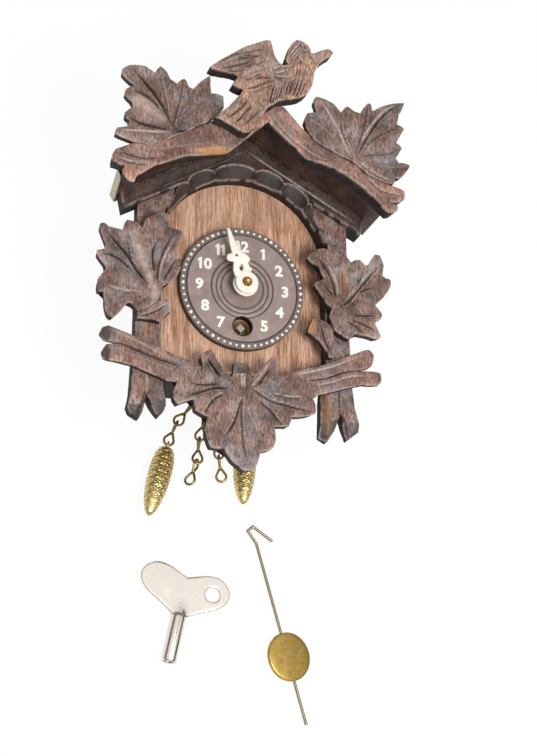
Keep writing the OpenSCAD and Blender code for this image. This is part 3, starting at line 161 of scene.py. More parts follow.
MINUTE_LINE = [
    (-3.4, -1.2, 0.2), (0.8, -3.4, 0.2), (3.4, 0.8, 0.2), (0.3, 3.3, 0.2), (0.9, 5.2, 0.2), (0.3, 6.8),
    (1.2, 7.8, 0.2), (0.4, 9.3, 0.15), (-1.6, 10.4), (-3, 12.5), (-3.9, 14.2), (-5.7, 18.4, 0.35),
    (-6.7, 18.1), (-5.9, 13.5), (-5, 9.6, 0.1), (-6.3, 9.1, 0.2), (-6.8, 8.2, 0.2), (-6.3, 7),
    (-4.4, 6.6, 0.1), (-4.5, 5, 0.2), (-4.3, 2.9, 0.1), (-3.6, 1.4, 0.2),
]

# Gouge cuts: width, lean (which side is steep), tone (0 dark, 1 bare wood) and the line from hub to tip
LEFT_LEAF_CUTS = [
    (1.5, 0.5, 0.1, [(-33, -5), (-36.5, -0.5), (-40.5, 5.5), (-47.5, 12.5)]),
    (1.0, -0.5, 0.1, [(-36.5, 0.5), (-38.5, 4), (-39.8, 10)]),
    (1.2, 0.5, 0.1, [(-38.5, -0.5), (-41, 2), (-45, 4), (-48.5, 3.8)]),
    (1.3, 0.4, 0.0, [(-31, -0.5), (-31.5, 6), (-30.5, 10.3)]),
    (1.2, -0.4, 0.1, [(-30, -4.5), (-29.3, 2), (-27.5, 8), (-24.5, 13.5)]),
    (0.8, 0.4, 0.7, [(-29, -4.5), (-28.2, 2), (-26.3, 7.5), (-23.4, 13)]),
    (1.2, -0.5, 0.0, [(-28, -3), (-24, 4.5)]),
    (1.1, 0.5, 0.8, [(-35, -7.5), (-40, -7.3), (-45.5, -6.5)]),
    (1.1, 0.5, 0.6, [(-34, -8), (-38, -9), (-42, -10.8), (-44.5, -13)]),
    (1.0, 0.5, 0.4, [(-33, -9.5), (-36, -12)]),
]
RIGHT_LEAF_CUTS = [
    (1.5, -0.5, 0.2, [(30.5, -6.3), (34, -4), (38, 1), (42, 6), (46, 11)]),
    (0.7, 0.5, 0.7, [(33, -3.6), (37, 1), (41, 6), (44.5, 10.5)]),
    (1.2, -0.5, 0.1, [(36.5, 0.5), (38.5, 4), (39.5, 7.5)]),
    (1.1, -0.5, 0.2, [(35.5, -3.2), (38, -0.5), (41, 1.5), (44.5, 2)]),
    (1.1, -0.5, 0.2, [(35.5, -8.5), (40, -8), (44, -7.7)]),
    (1.1, -0.5, 0.2, [(34.5, -10.2), (38, -10.8), (41.5, -12), (43.3, -13.2)]),
    (1.1, -0.5, 0.2, [(33.3, -10.8), (37, -12.5), (39.3, -14.8)]),
    (1.1, 0.6, 0.2, [(32.2, -2), (32.5, 3), (32.2, 8)]),
    (1.3, 0.5, 0.2, [(29.5, -3), (29.2, 1), (28, 5), (25, 9.5), (22.5, 12)]),
    (0.8, -0.4, 0.7, [(30.4, -3), (30.2, 1.4), (28.9, 5.8), (26, 10)]),
    (1.2, 0.5, 0.2, [(28.8, -2), (25.8, 1.5)]),
]
LOWER_LEAF_CUTS = [
    (0.5, 0.0, 0.9, [(-1.5, -30.3), (-1.4, -35.7)]),
    (0.5, 0.0, 0.9, [(-0.6, -30.3), (-0.7, -35.7)]),
    (1.4, 0.5, 0.1, [(-8.1, -32.2), (-10.6, -28.7), (-12.7, -25.8)]),
    (1.2, 0.4, 0.0, [(-14.4, -33.4), (-15.8, -31)]),
    (0.8, 0.4, 0.7, [(-3.1, -33.5), (-5.6, -30.3)]),
    (1.1, 0.4, 0.0, [(-8.9, -34.5), (-11.4, -34.8), (-14.8, -35.1), (-18.1, -34.8)]),
    (1.4, 0.4, 0.0, [(-5.2, -35.6), (-10.6, -36), (-14.3, -37.4), (-17.7, -38.7), (-19.8, -39.9)]),
    (1.3, -0.4, 0.3, [(-7.3, -37.6), (-10.2, -39.5), (-12.3, -42.4), (-13.5, -44.7)]),
    (1.4, -0.4, 0.3, [(-1.4, -38.7), (-2, -40.8), (-3.5, -45.8), (-5.2, -49.1), (-7.5, -51.8)]),
    (1.6, 0.3, 0.3, [(-1.1, -38.7), (-1.3, -42.8), (-1, -48.7), (-0.5, -53.7), (0.5, -59.1)]),
    (0.9, 0.4, 0.5, [(0.3, -40.8), (1.1, -44.1), (2.8, -47.4), (4.2, -50.3)]),
    (2.0, 0.3, 0.0, [(4.4, -38.9), (7.3, -40.8), (9.8, -43.3), (12.1, -46.2)]),
    (1.9, 0.3, 0.0, [(1.9, -35.1), (4.8, -36.6), (8.6, -38.5), (14, -39.5), (21.9, -41)]),
    (1.1, 0.4, 0.0, [(8.8, -36.4), (12.3, -36.7), (15.7, -36.9), (19, -36.6)]),
    (1.1, -0.3, 0.8, [(1.5, -34.9), (5, -30.2), (8.6, -24.9)]),
    (1.3, -0.3, 0.0, [(4, -34.1), (6.9, -29.9), (9.2, -26.8)]),
]
LEFT_CREST_CUTS = [
    (1.6, 0.5, 0.1, [(-30.8, 40), (-32.5, 44.6), (-35.8, 50), (-40, 55), (-44.6, 59.2)]),
    (1.0, -0.4, 0.4, [(-31.2, 40.8), (-32.5, 48.3), (-33.8, 54.2), (-35, 59.2)]),
    (1.0, -0.4, 0.3, [(-30.4, 40), (-29.6, 43.3), (-27.9, 50.8), (-27.1, 56.7)]),
    (1.1, -0.4, 0.5, [(-30, 39.6), (-28.8, 42.5), (-26.7, 47.5), (-23.3, 53.3), (-19.2, 58.8)]),
    (1.2, -0.4, 0.5, [(-27.5, 42.1), (-24.2, 45.8), (-20, 50), (-15, 53.8)]),
    (1.6, 0.5, 0.1, [(-32.1, 42.5), (-35, 46.7), (-39.2, 50), (-44.2, 51.3)]),
    (1.4, 0.5, 0.1, [(-31.7, 38.8), (-35.8, 39.2), (-40.8, 40), (-45, 41.7)]),
    (0.9, 0.3, 0.9, [(-31.3, 37.9), (-35.8, 37.7), (-41.7, 37.3), (-47.5, 36.7)]),
    (1.1, 0.3, 0.5, [(-30.8, 37.5), (-34.2, 34.6), (-38.3, 32.9), (-43.3, 32.5)]),
    (1.3, -0.5, 0.1, [(-30, 38.5), (-26.7, 39.2), (-22.5, 40.4), (-17.1, 43.3)]),
]
RIGHT_CREST_CUTS = [
    (1.2, 0.4, 0.9, [(28.3, 38.3), (26.3, 43.3), (24.2, 48.3), (21.3, 53.3), (17.5, 57.5)]),
    (0.8, -0.4, 0.2, [(28.8, 38.3), (27.1, 43.3), (25.8, 48.3), (25.8, 53.3)]),
    (1.5, 0.4, 0.6, [(25.8, 41.7), (22.5, 45), (18.3, 48.3), (14.2, 49.2)]),
    (1.0, -0.4, 0.3, [(30.4, 39.2), (32.5, 45.8), (34.6, 52.5), (35, 57.9)]),
    (1.5, -0.4, 0.2, [(30.4, 38.3), (33.3, 43.3), (36.7, 49.2), (41.7, 55.8), (47.5, 59.6)]),
    (0.7, 0.4, 0.8, [(32.4, 43.4), (35.8, 49.6), (40.8, 56), (45.5, 59.4)]),
    (1.1, -0.4, 0.4, [(33.3, 41.7), (37.5, 45.8), (42.5, 49.2), (47.5, 50.8)]),
    (1.1, -0.4, 0.4, [(31.7, 37.9), (35.8, 39.6), (41.7, 40.8), (46.3, 43.3)]),
    (1.1, -0.4, 0.5, [(31.7, 37.1), (37.5, 36.7), (43.3, 36.7), (48.8, 37.5)]),
    (1.3, 0.4, 0.1, [(30.8, 36.3), (34.2, 34.2), (38.3, 32.1), (42.9, 30.8)]),
]
BAND_CUTS = [
    (1.0, 0.3, 0.6, [(-18.3, 36.7), (-23.3, 35.8), (-29.2, 34.2), (-35, 32.5), (-40, 31.2)]),
    (1.0, 0.3, 0.2, [(-34, 29.5), (-40, 28.6), (-48, 30)]),
    (1.2, -0.3, 0.1, [(-38, 26.6), (-42, 26.6), (-47.5, 27.4)]),
    (1.0, -0.3, 0.6, [(4.2, 50.8), (10.8, 43.8), (15.8, 40.8), (21.7, 36.7)]),
    (0.8, 0.3, 0.3, [(1.3, 50.8), (5.8, 45), (11.7, 40), (17.5, 36.7), (22, 35.8)]),
    (1.1, -0.3, 0.6, [(30.8, 35), (35.8, 29.2), (40.8, 24.2)]),
    (1.2, 0.3, 0.1, [(34, 32), (39, 28), (46, 26.8)]),
]
BIRD_CUTS = [
    (0.9, 0.4, 0.1, [(-5.2, 66.9), (-9.3, 66.1), (-13.5, 64.4), (-18, 61.3)]),
    (0.9, 0.4, 0.1, [(-2, 67.5), (-5.2, 66.3), (-10.6, 64.6), (-14.8, 63.2), (-18.5, 60.7)]),
    (0.9, 0.4, 0.1, [(-6, 64.4), (-8.5, 63.2), (-13.1, 61.3), (-16.8, 60)]),
    (0.9, 0.4, 0.1, [(-5.2, 64), (-7.7, 61.9), (-11, 60.3), (-15, 59.4)]),
    (0.7, 0.4, 0.4, [(-10.2, 65.3), (-13.5, 64)]),
    (0.8, 0.4, 0.1, [(-4.3, 64), (-7.3, 62.3), (-9.3, 60.7)]),
    (0.9, 0.4, 0.1, [(0.7, 59), (-1, 59.4), (-3.5, 59), (-7.3, 57.3), (-10.2, 55.7)]),
    (0.9, 0.4, 0.0, [(1.5, 58.2), (-0.2, 58.2), (-2.7, 56.9), (-5.2, 55.3), (-8.5, 54)]),
    (0.8, 0.4, 0.2, [(-2.7, 60.7), (-6.4, 58.2), (-9.3, 56.5)]),
    (0.7, 0.3, 0.1, [(0.7, 61.9), (3.2, 63.6), (6.5, 64.4), (8.2, 65.3)]),
    (0.7, 0.3, 0.1, [(1.1, 61.1), (4, 61.9), (6.5, 63.6)]),
    (0.7, 0.3, 0.1, [(0.7, 60.3), (4.8, 60.3), (7.3, 61.1)]),
    (0.8, 0.3, 0.1, [(6.1, 54), (7.3, 59), (8.6, 60.7)]),
    (0.8, 0.3, 0.1, [(7.3, 54), (9, 58.2), (9.4, 60.3)]),
    (0.8, 0.3, 0.1, [(8.6, 54), (9.8, 56.9), (10.7, 60.7)]),
    (0.8, 0.3, 0.1, [(-0.2, 50.7), (0.7, 54.8), (1.5, 58.2)]),
    (0.8, 0.3, 0.1, [(0.7, 50.7), (1.9, 54.8), (2.8, 57.3)]),
    (0.8, 0.3, 0.1, [(1.7, 51.9), (2.8, 55.3), (3.2, 57.3)]),
    (1.0, 0.3, 0.0, [(-7.3, 50.7), (-8.9, 48.2), (-11.8, 45.3), (-14.8, 42.8)]),
    (1.0, 0.3, 0.0, [(-5.6, 48.6), (-7.7, 46.9), (-9.3, 44.4), (-12.7, 41.1)]),
    (0.6, 0.3, 0.1, [(6.5, 69), (8.2, 72.8), (9.8, 74.4)]),
    (0.6, 0.3, 0.1, [(6.9, 68.2), (9.4, 71.9), (10.7, 73.6)]),
    (0.6, 0.3, 0.1, [(7.3, 67.3), (10.3, 71.5)]),
    (0.7, 0.3, 0.1, [(10.7, 74), (11.5, 71.9), (12.3, 70.3)]),
    (0.7, 0.3, 0.1, [(9.8, 65.7), (10.7, 67.8), (11.1, 65.7)]),
    (0.7, 0.3, 0.1, [(12.8, 66.5), (14, 64), (14.6, 62.3)]),
    (0.6, 0.3, 0.1, [(14, 69.8), (16.1, 66.9)]),
    (0.7, 0.4, 0.3, [(-1.5, 69.6), (-6, 68), (-11, 65.8)]),
    (0.6, 0.4, 0.3, [(-8.5, 67), (-12.5, 65.2), (-16, 62.9)]),
    (0.7, 0.4, 0.3, [(-1, 65.4), (-4.8, 63.3), (-9.3, 61.7), (-12.5, 59.9)]),
    (0.7, 0.4, 0.5, [(0.3, 63.2), (-3, 61.8), (-6.8, 59.5), (-10, 57.6)]),
    (0.7, 0.4, 0.3, [(1.6, 57.2), (-1, 56), (-4.5, 54), (-8.2, 52.6)]),
    (0.8, 0.3, 0.2, [(-3.2, 47.8), (-5.8, 44.6), (-9.4, 41)]),
    (0.7, 0.3, 0.2, [(9.9, 54.7), (10.9, 57), (11.8, 60)]),
    (0.7, 0.3, 0.2, [(4.9, 54), (6.1, 58), (7.2, 60.4)]),
    (0.7, 0.3, 0.2, [(2.7, 52.8), (3.6, 55.6), (4, 57.4)]),
    (0.6, 0.3, 0.2, [(5.4, 68.6), (7, 72.2), (8.6, 74.3)]),
    (0.6, 0.3, 0.2, [(7.9, 66.9), (11, 70.9)]),
]
LEFT_BRANCH_CUTS = [
    (0.7, 0.3, 0.7, [(-21, -28.2), (-28.7, -24.7), (-36.7, -21.2), (-44.2, -19)]),
    (1.2, 0.2, 0.0, [(-20, -29.6), (-30, -27.0), (-35, -25.3), (-39.3, -23.8), (-44, -22.6)]),
    (0.7, 0.3, 0.5, [(-22, -30.9), (-30, -28.2), (-36.7, -26.2), (-43.3, -25.2)]),
]
RIGHT_BRANCH_CUTS = [
    (0.7, 0.3, 0.7, [(16, -29.2), (23.3, -27.3), (30, -25), (35, -22.7), (41, -20)]),
    (1.2, 0.2, 0.0, [(20, -30.6), (27.3, -29.0), (31.3, -27.4), (35, -26), (42, -24.9)]),
    (0.7, 0.3, 0.5, [(24, -32.4), (31, -30), (36, -28), (43.7, -26.9)]),
]


def bowed(points, steps=6):
    """The closed outline, with its bowed edges drawn as short straight ones."""
    out = []
    for i, p in enumerate(points):
        q = points[(i + 1) % len(points)]
        bow = p[2] if len(p) > 2 else 0
        count = steps if bow else 1
        dx, dy = q[0] - p[0], q[1] - p[1]
        for j in range(count):
            t = j / count
            w = 2 * bow * t * (1 - t)
            out.append((p[0] + t * dx + w * dy, p[1] + t * dy - w * dx))
    return np.array(out)


def resampled(loop, step):
    """A closed line whose edges are at most step long, with its corners kept."""
    out = []
    for a, b in zip(loop, np.roll(loop, -1, axis=0)):
        count = max(1, math.ceil(np.hypot(*(b - a)) / step))
        out += [a + (b - a) * j / count for j in range(count)]
    return np.array(out)


def curve(points, step=0.35):
    """A smooth line through the points."""
    p = np.array(points, float)
    p = np.vstack([2 * p[0] - p[1], p, 2 * p[-1] - p[-2]])
    out = []
    for a, b, c, d in zip(p, p[1:], p[2:], p[3:]):
        count = max(1, math.ceil(np.linalg.norm(c - b) / step))
        for t in np.arange(count) / count:
            out.append(0.5 * (2 * b + (c - a) * t + (2 * a - 5 * b + 4 * c - d) * t**2
                              + (3 * b - a - 3 * c + d) * t**3))
    return np.array(out + [p[-2]])


def near(points, line):
    """Distance from each point to an open line, the share of its length there, and the side."""
    a, d = line[:-1], np.diff(line, axis=0)
    length = np.maximum(np.hypot(d[:, 0], d[:, 1]), TINY)
    run = np.concatenate([[0], np.cumsum(length)])
    dist, along, side = (np.empty(len(points)) for _ in range(3))
    for k in range(0, len(points), BATCH):
        p = points[k : k + BATCH, None, :] - a
        t = np.clip((p * d).sum(-1) / length**2, 0, 1)
        off = p - t[..., None] * d
        q = np.hypot(off[..., 0], off[..., 1])
        i = q.argmin(1)
        r = np.arange(len(i))
        dist[k : k + BATCH] = q[r, i]
        along[k : k + BATCH] = (run[i] + t[r, i] * length[i]) / run[-1]
        side[k : k + BATCH] = np.sign(d[i, 0] * off[r, i, 1] - d[i, 1] * off[r, i, 0])
    return dist, along, side


def inside(points, loop):
    """Which points lie inside a closed line."""
    a, b = loop, np.roll(loop, -1, axis=0)
    out = np.zeros(len(points), bool)
    for k in range(0, len(points), BATCH):
        x, y = points[k : k + BATCH, :1], points[k : k + BATCH, 1:]
        crosses = (a[:, 1] > y) != (b[:, 1] > y)
        rise = np.where(b[:, 1] == a[:, 1], TINY, b[:, 1] - a[:, 1])
        at = a[:, 0] + (y - a[:, 1]) / rise * (b[:, 0] - a[:, 0])
        out[k : k + BATCH] = (crosses & (x < at)).sum(1) % 2 == 1
    return out


def within(points, loops):
    """Which points lie inside the first closed line and outside the others."""
    keep = inside(points, loops[0])
    for hole in loops[1:]:
        keep &= ~inside(points, hole)
    return keep


def unit(values):
    return np.clip(values, 0, 1)


def bell(values, width):
    return np.exp(-((values / width) ** 2))


def normals(ways):
    """Unit vectors square to flat directions, on their left."""
    return np.stack([-ways[:, 1], ways[:, 0]], 1) / np.maximum(np.linalg.norm(ways, axis=1), TINY)[:, None]


def loop_normals(loop):
    return normals(np.roll(loop, -1, axis=0) - np.roll(loop, 1, axis=0))


def closed(loop):
    return np.vstack([loop, loop[:1]])


def waves(points, size, seed):
    """Smooth uneven values from -1 to 1, about size across."""
    rng = np.random.default_rng(seed)
    total = np.zeros(len(points))
    for _ in range(7):
        angle, phase = rng.uniform(0, 2 * math.pi, 2)
        k = 2 * math.pi / (size * rng.uniform(0.7, 1.6))
        total += np.sin(k * (points[:, 0] * math.cos(angle) + points[:, 1] * math.sin(angle)) + phase)
    return total / 4


def add_piece(name, verts, faces, materials, body="root", slot=None, stands_for=(), indices=None,
              values=None, sharp=40, matrix=None):
    """Makes a mesh object from millimetres and fixes it to its body."""
    mesh = bpy.data.meshes.new(name)
    verts = np.asarray(verts, float) * MM
    mesh.from_pydata(verts.tolist(), [], [tuple(int(i) for i in f) for f in faces])
    for m in materials:
        mesh.materials.append(m)
    if indices is not None:
        mesh.polygons.foreach_set("material_index", np.asarray(indices, np.int32))
    for key, data in (values or {}).items():
        layer = mesh.attributes.new(key, "FLOAT", "POINT")
        layer.data.foreach_set("value", np.asarray(data, np.float32))
    bm = bmesh.new()
    bm.from_mesh(mesh)
    bmesh.ops.recalc_face_normals(bm, faces=bm.faces)
    bm.to_mesh(mesh)
    bm.free()
    mesh.shade_smooth()
    mesh.set_sharp_from_angle(angle=math.radians(sharp))
    if matrix is not None:
        mesh.transform(matrix)
    obj = bpy.data.objects.new(name, mesh)
    scene.collection.objects.link(obj)
    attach(obj, body)
    if stands_for:
        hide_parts(*stands_for)
    return obj


def quads(low, high):
    """Faces between two closed rows of point numbers of one length."""
    n = len(low)
    return [(low[i], low[(i + 1) % n], high[(i + 1) % n], high[i]) for i in range(n)]


def grid(loop, spacing, rng):
    """Points in staggered rows over a line's box, each a little out of place."""
    low, high = loop.min(0), loop.max(0)
    ys = np.arange(low[1], high[1], spacing * 0.87)
    gx, gy = np.meshgrid(np.arange(low[0], high[0], spacing), ys)
    gx = gx + (np.arange(len(ys)) % 2)[:, None] * spacing / 2
    points = np.stack([gx.ravel(), gy.ravel()], 1)
    return points + rng.uniform(-0.08, 0.08, points.shape)


def split(rings, free, loops, limit):
    """Triangles between closed lines: points, triangles, and which old points each point stands for."""
    edges, start = [], 0
    for ring in rings:
        n = len(ring)
        edges += [(start + i, start + (i + 1) % n) for i in range(n)]
        start += n
    flat = [Vector(p) for p in np.vstack([*rings, free])]
    points, _, tris, olds, _, _ = delaunay_2d_cdt(flat, edges, [], 0, limit)
    points = np.array([tuple(p) for p in points])
    tris = np.array([t for t in tris if len(t) == 3])
    return points, tris[within(points[tris].mean(1), loops)], olds


def gouged(points, cuts, lines, rim):
    """What the V cuts add: depth, dip, painted shade in and around each cut (partly stain), and rim values: a
    painted highlight on the lit shoulder and a pale core where a cut is bare wood.
    """
    dark, depth, dip = (np.zeros(len(points)) for _ in range(3))
    for (width, lean, tone, _), line in zip(cuts, lines):
        dist, along, side = near(points, line)
        taper = unit(np.minimum(along / 0.14, (1 - along) / 0.3)) ** 0.7
        reach = width * np.where(side > 0, 0.5 + lean / 2, 0.5 - lean / 2) * np.maximum(taper, 0.15)
        depth = np.maximum(depth, unit(1 - dist / reach) * taper * width * (0.62 - 0.35 * tone))
        # Painted shade: a dark core in each cut and a broad dark halo around it.
        core = bell(dist, 0.17 * width + 0.06) * taper
        halo = bell(dist, 0.5 * width + 0.35) * taper
        dark = np.maximum(np.maximum(dark, core * (1 - tone**1.5)), 0.38 * halo * (1 - 0.6 * tone))
        lit = bell(dist - 0.5 * reach - 0.1, 0.15) * taper * (side * (lean or 1) > 0)
        rim = np.maximum(rim, lit * (0.9 + 0.1 * waves(points, 3, 9)))
        rim = np.maximum(rim, core * unit(1.7 * tone - 0.6))
        dip = np.maximum(dip, bell(dist, 2.2) * taper)
    return depth, dip, dark, rim


def relief(outline, back, top, cuts=(), spacing=0.45, edge=0.24, slope=(2.0, 0.2), shape=None,
           holes=(), spots=(), free=None, rough=0.06, pillow=0.4, under=0.0):
    """A carved slab: points, faces, material numbers and values for its face, walls and back.

    The face has rounded edges, falls towards them and carries V cuts. A shape function lowers it
    further and may also return how dark it is (painted shade) and how bright (a painted sheen). The
    walls lean in by under. Spots are ellipses of bare wood: x, y, half width, half height and strength.
    """
    loops = [resampled(np.asarray(outline, float), spacing)]
    loops += [resampled(np.asarray(h, float), spacing * 0.7) for h in holes]
    lines = [curve(c[3]) for c in cuts]
    if free is None:
        free = grid(loops[0], spacing, np.random.default_rng(len(outline) + len(cuts)))
    extra = [free]
    for loop in loops:
        for offset in (0.12, 0.32):
            extra += [loop + loop_normals(loop) * offset, loop - loop_normals(loop) * offset]
    for (width, lean, _, _), line in zip(cuts, lines):
        n = normals(np.gradient(line, axis=0))
        extra += [line, line + n * width * (0.5 + lean / 2), line - n * width * (0.5 - lean / 2)]
    free = np.vstack(extra)

    def to_rim(points):
        return np.min([near(points, closed(loop))[0] for loop in loops], axis=0)

    free = free[within(free, loops) & (to_rim(free) > 0.1)]
    points, tris, olds = split(loops, free, loops, 1e-5)
    numbers = np.zeros(sum(map(len, loops)) + len(free), int)
    for new, many in enumerate(olds):
        numbers[list(many)] = new
    gap = to_rim(points)
    z = np.full(len(points), float(top))
    if edge:
        z -= edge - np.sqrt(np.maximum(edge**2 - np.maximum(edge - gap, 0) ** 2, 0))
    if slope[1]:
        z -= slope[1] * unit(1 - gap / slope[0]) ** 2
    shaped = shape(points) if shape else 0
    drop, shade, bright = (*shaped, 0)[:3] if isinstance(shaped, tuple) else (shaped, 0, 0)
    z -= drop
    z += rough * waves(points, 3.2, 3) * unit(gap)
    # A light line along the rounded edges, partly wear and partly painted highlight, together with the
    # shape's painted sheen.
    rim = np.maximum(0.5 * bell(gap - edge * 0.4, 0.2) * (waves(points, 5, 5) > -0.2), bright)
    depth, dip, dark, rim = gouged(points, cuts, lines, rim)
    # Painted shade from the cuts and from the shape function.
    dark = np.maximum(dark, shade)
    z -= depth + pillow * dip
    raw = np.zeros(len(points))
    for x, y, rx, ry, strength in spots:
        q = np.hypot((points[:, 0] - x) / rx, (points[:, 1] - y) / ry)
        raw = np.maximum(raw, strength * unit(1.6 - 1.2 * q + 0.4 * waves(points, 1.2, 4)))

    verts, faces = [np.column_stack([points, z])], [tuple(t) for t in tris]
    front, start, count, last = len(faces), 0, len(points), []
    for loop in loops:
        above = numbers[start : start + len(loop)]
        start += len(loop)
        heights, normal = z[above], loop_normals(loop)
        if inside(loop + normal * 0.02, loops[0]).mean() <= 0.5:
            normal = -normal
        for share in WALL_ROWS:
            nick = 0.05 * (1 + waves(loop + share * 7, 1.6, 11)) + under * share
            ring = loop + normal * nick[:, None] if loop is loops[0] else loop
            verts.append(np.column_stack([ring, heights + (back - heights) * share]))
            below = np.arange(count, count + len(loop))
            count += len(loop)
            faces += quads(above, below)
            above = below
        last.append(above)
    last = np.concatenate(last)
    rows = len(WALL_ROWS)
    _, tris, olds = split([v[:, :2] for v in verts[rows::rows]], np.empty((0, 2)), loops, 1e-6)
    for t in tris:
        ids = [int(last[olds[i][0]]) for i in t if olds[i]]
        if len(set(ids)) == 3:
            faces.append(tuple(ids))
    verts = np.vstack(verts)
    pad = (0, len(verts) - len(points))
    values = {"rim": np.pad(rim, pad), "dark": np.pad(dark, pad), "raw": np.pad(raw, pad)}
    return verts, faces, [0] * front + [1] * (len(faces) - front), values


def lathe(profile, sides=72):
    """A surface turned about Z from (radius, height) points, closed where the radius is 0."""
    angles = np.arange(sides) * 2 * math.pi / sides
    verts, rings = [], []
    for r, h in profile:
        if r < 1e-6:
            rings.append([len(verts)] * sides)
            verts.append((0, 0, h))
        else:
            rings.append(list(range(len(verts), len(verts) + sides)))
            verts += [(r * math.cos(a), r * math.sin(a), h) for a in angles]
    faces = [tuple(dict.fromkeys(q)) for low, high in zip(rings, rings[1:]) for q in quads(low, high)]
    return np.array(verts, float), [f for f in faces if len(f) > 2]


def wrapped(rows):
    """Faces over rows of point numbers, with a cap at each end."""
    faces = [q for low, high in zip(rows, rows[1:]) for q in quads(low, high)]
    return faces + [tuple(rows[0])[::-1], tuple(rows[-1])]


def tube(path, radius, sides=12, joined=False):
    """A round wire along a line of points."""
    path = np.array(path, float)
    n = len(path)
    ways = np.roll(path, -1, axis=0) - np.roll(path, 1, axis=0) if joined else np.gradient(path, axis=0)
    ways /= np.linalg.norm(ways, axis=1)[:, None]
    up = np.cross(ways[0], (0.3, 0.5, 0.81))
    verts = []
    for p, w in zip(path, ways):
        up = up - w * np.dot(up, w)
        up /= np.linalg.norm(up)
        other = np.cross(w, up)
        for a in np.arange(sides) * 2 * math.pi / sides:
            verts.append(p + radius * (math.cos(a) * up + math.sin(a) * other))
    verts = np.array(verts)
    rows = np.arange(n * sides).reshape(n, sides)
    faces = wrapped(rows)
    if joined:
        shift = int(np.argmin(np.linalg.norm(verts[:sides] - verts[-sides], axis=1)))
        faces[-2:] = quads(rows[-1], np.roll(rows[0], -shift))
    return verts, faces


def merged(parts):
    """Several meshes as one: (points, faces) pairs."""
    verts, faces, count = [], [], 0
    for v, f in parts:
        verts.append(np.asarray(v, float))
        faces += [tuple(i + count for i in face) for face in f]
        count += len(v)
    return np.vstack(verts), faces


def moved(verts, matrix):
    m = np.array(matrix)
    return verts @ m[:3, :3].T + m[:3, 3]


def turned(degrees, axis):
    return Matrix.Rotation(math.radians(degrees), 4, axis)


def placed(at, turn, rise=0.0, roll=0.0):
    """A place whose X axis is turned about Z, raised, and rolled about itself."""
    return Matrix.Translation(at) @ turned(turn, "Z") @ turned(-rise, "Y") @ turned(roll, "X")


# Materials


def add(tree, kind, inputs=None, **settings):
    """A node with its settings, and its inputs from values or from other nodes' outputs."""
    n = tree.nodes.new("ShaderNode" + kind)
    for key, value in settings.items():
        setattr(n, key, value)
    for key, value in (inputs or {}).items():
        if isinstance(value, bpy.types.NodeSocket):
            tree.links.new(value, n.inputs[key])
        else:
            n.inputs[key].default_value = value
    return n


def new_material(name, **shader):
    """A material and its tree, shader node and Object coordinates."""
    m = bpy.data.materials.new(name)
    m.use_nodes = True
    tree = m.node_tree
    bsdf = tree.nodes["Principled BSDF"]
    for key, value in shader.items():
        bsdf.inputs[key.replace("_", " ")].default_value = value
    coords = add(tree, "TexCoord").outputs["Object"]
    return m, tree, bsdf, coords


def noise(tree, coords, scale, stretch=(1, 1, 1), turn=0.0, detail=4.0, rough=0.6):
    """Noise of a size in cycles per metre, stretched along the axes."""
    mapping = add(tree, "Mapping", {"Vector": coords, "Scale": [scale * s for s in stretch],
                                    "Rotation": (0, 0, math.radians(turn))})
    return add(tree, "TexNoise", {"Vector": mapping.outputs[0], "Scale": 1.0, "Detail": detail,
                                  "Roughness": rough}).outputs["Fac"]


def ramp(tree, value, stops):
    """Colours or grey levels at places along a value."""
    n = add(tree, "ValToRGB", {"Fac": value})
    while len(n.color_ramp.elements) < len(stops):
        n.color_ramp.elements.new(0.5)
    for element, (at, colour) in zip(n.color_ramp.elements, stops):
        element.position = at
        element.color = colour if isinstance(colour, tuple) else (colour, colour, colour, 1)
    return n.outputs["Color"]


def set_inputs(tree, sockets, values):
    for socket, value in zip(sockets, values):
        if isinstance(value, bpy.types.NodeSocket):
            tree.links.new(value, socket)
        else:
            socket.default_value = value


def mix(tree, factor, a, b, blend="MIX"):
    n = add(tree, "Mix", data_type="RGBA", blend_type=blend)
    set_inputs(tree, (n.inputs[0], n.inputs[6], n.inputs[7]), (factor, a, b))
    return n.outputs[2]


def maths(tree, operation, a, b=0.0):
    n = add(tree, "Math", operation=operation, use_clamp=operation in ("MULTIPLY", "ADD"))
    set_inputs(tree, n.inputs, (a, b))
    return n.outputs[0]


def times(tree, a, b):
    return maths(tree, "MULTIPLY", a, b)


def bump(tree, bsdf, height, strength, distance):
    n = add(tree, "Bump", {"Height": height, "Strength": strength, "Distance": distance * MM})
    tree.links.new(n.outputs[0], bsdf.inputs["Normal"])


def tinted(tree, colour, name, strength, tint):
    """Another colour where the mesh carries a value of that name."""
    value = add(tree, "Attribute", attribute_name=name).outputs["Fac"]
    return mix(tree, times(tree, value, strength), colour, tint)


def finished(tree, bsdf, colour, rough_by, low, high):
    """Links the colour, and a roughness that goes from low to high with a value."""
    tree.links.new(colour, bsdf.inputs["Base Color"])
    tree.links.new(ramp(tree, rough_by, [low, high]), bsdf.inputs["Roughness"])


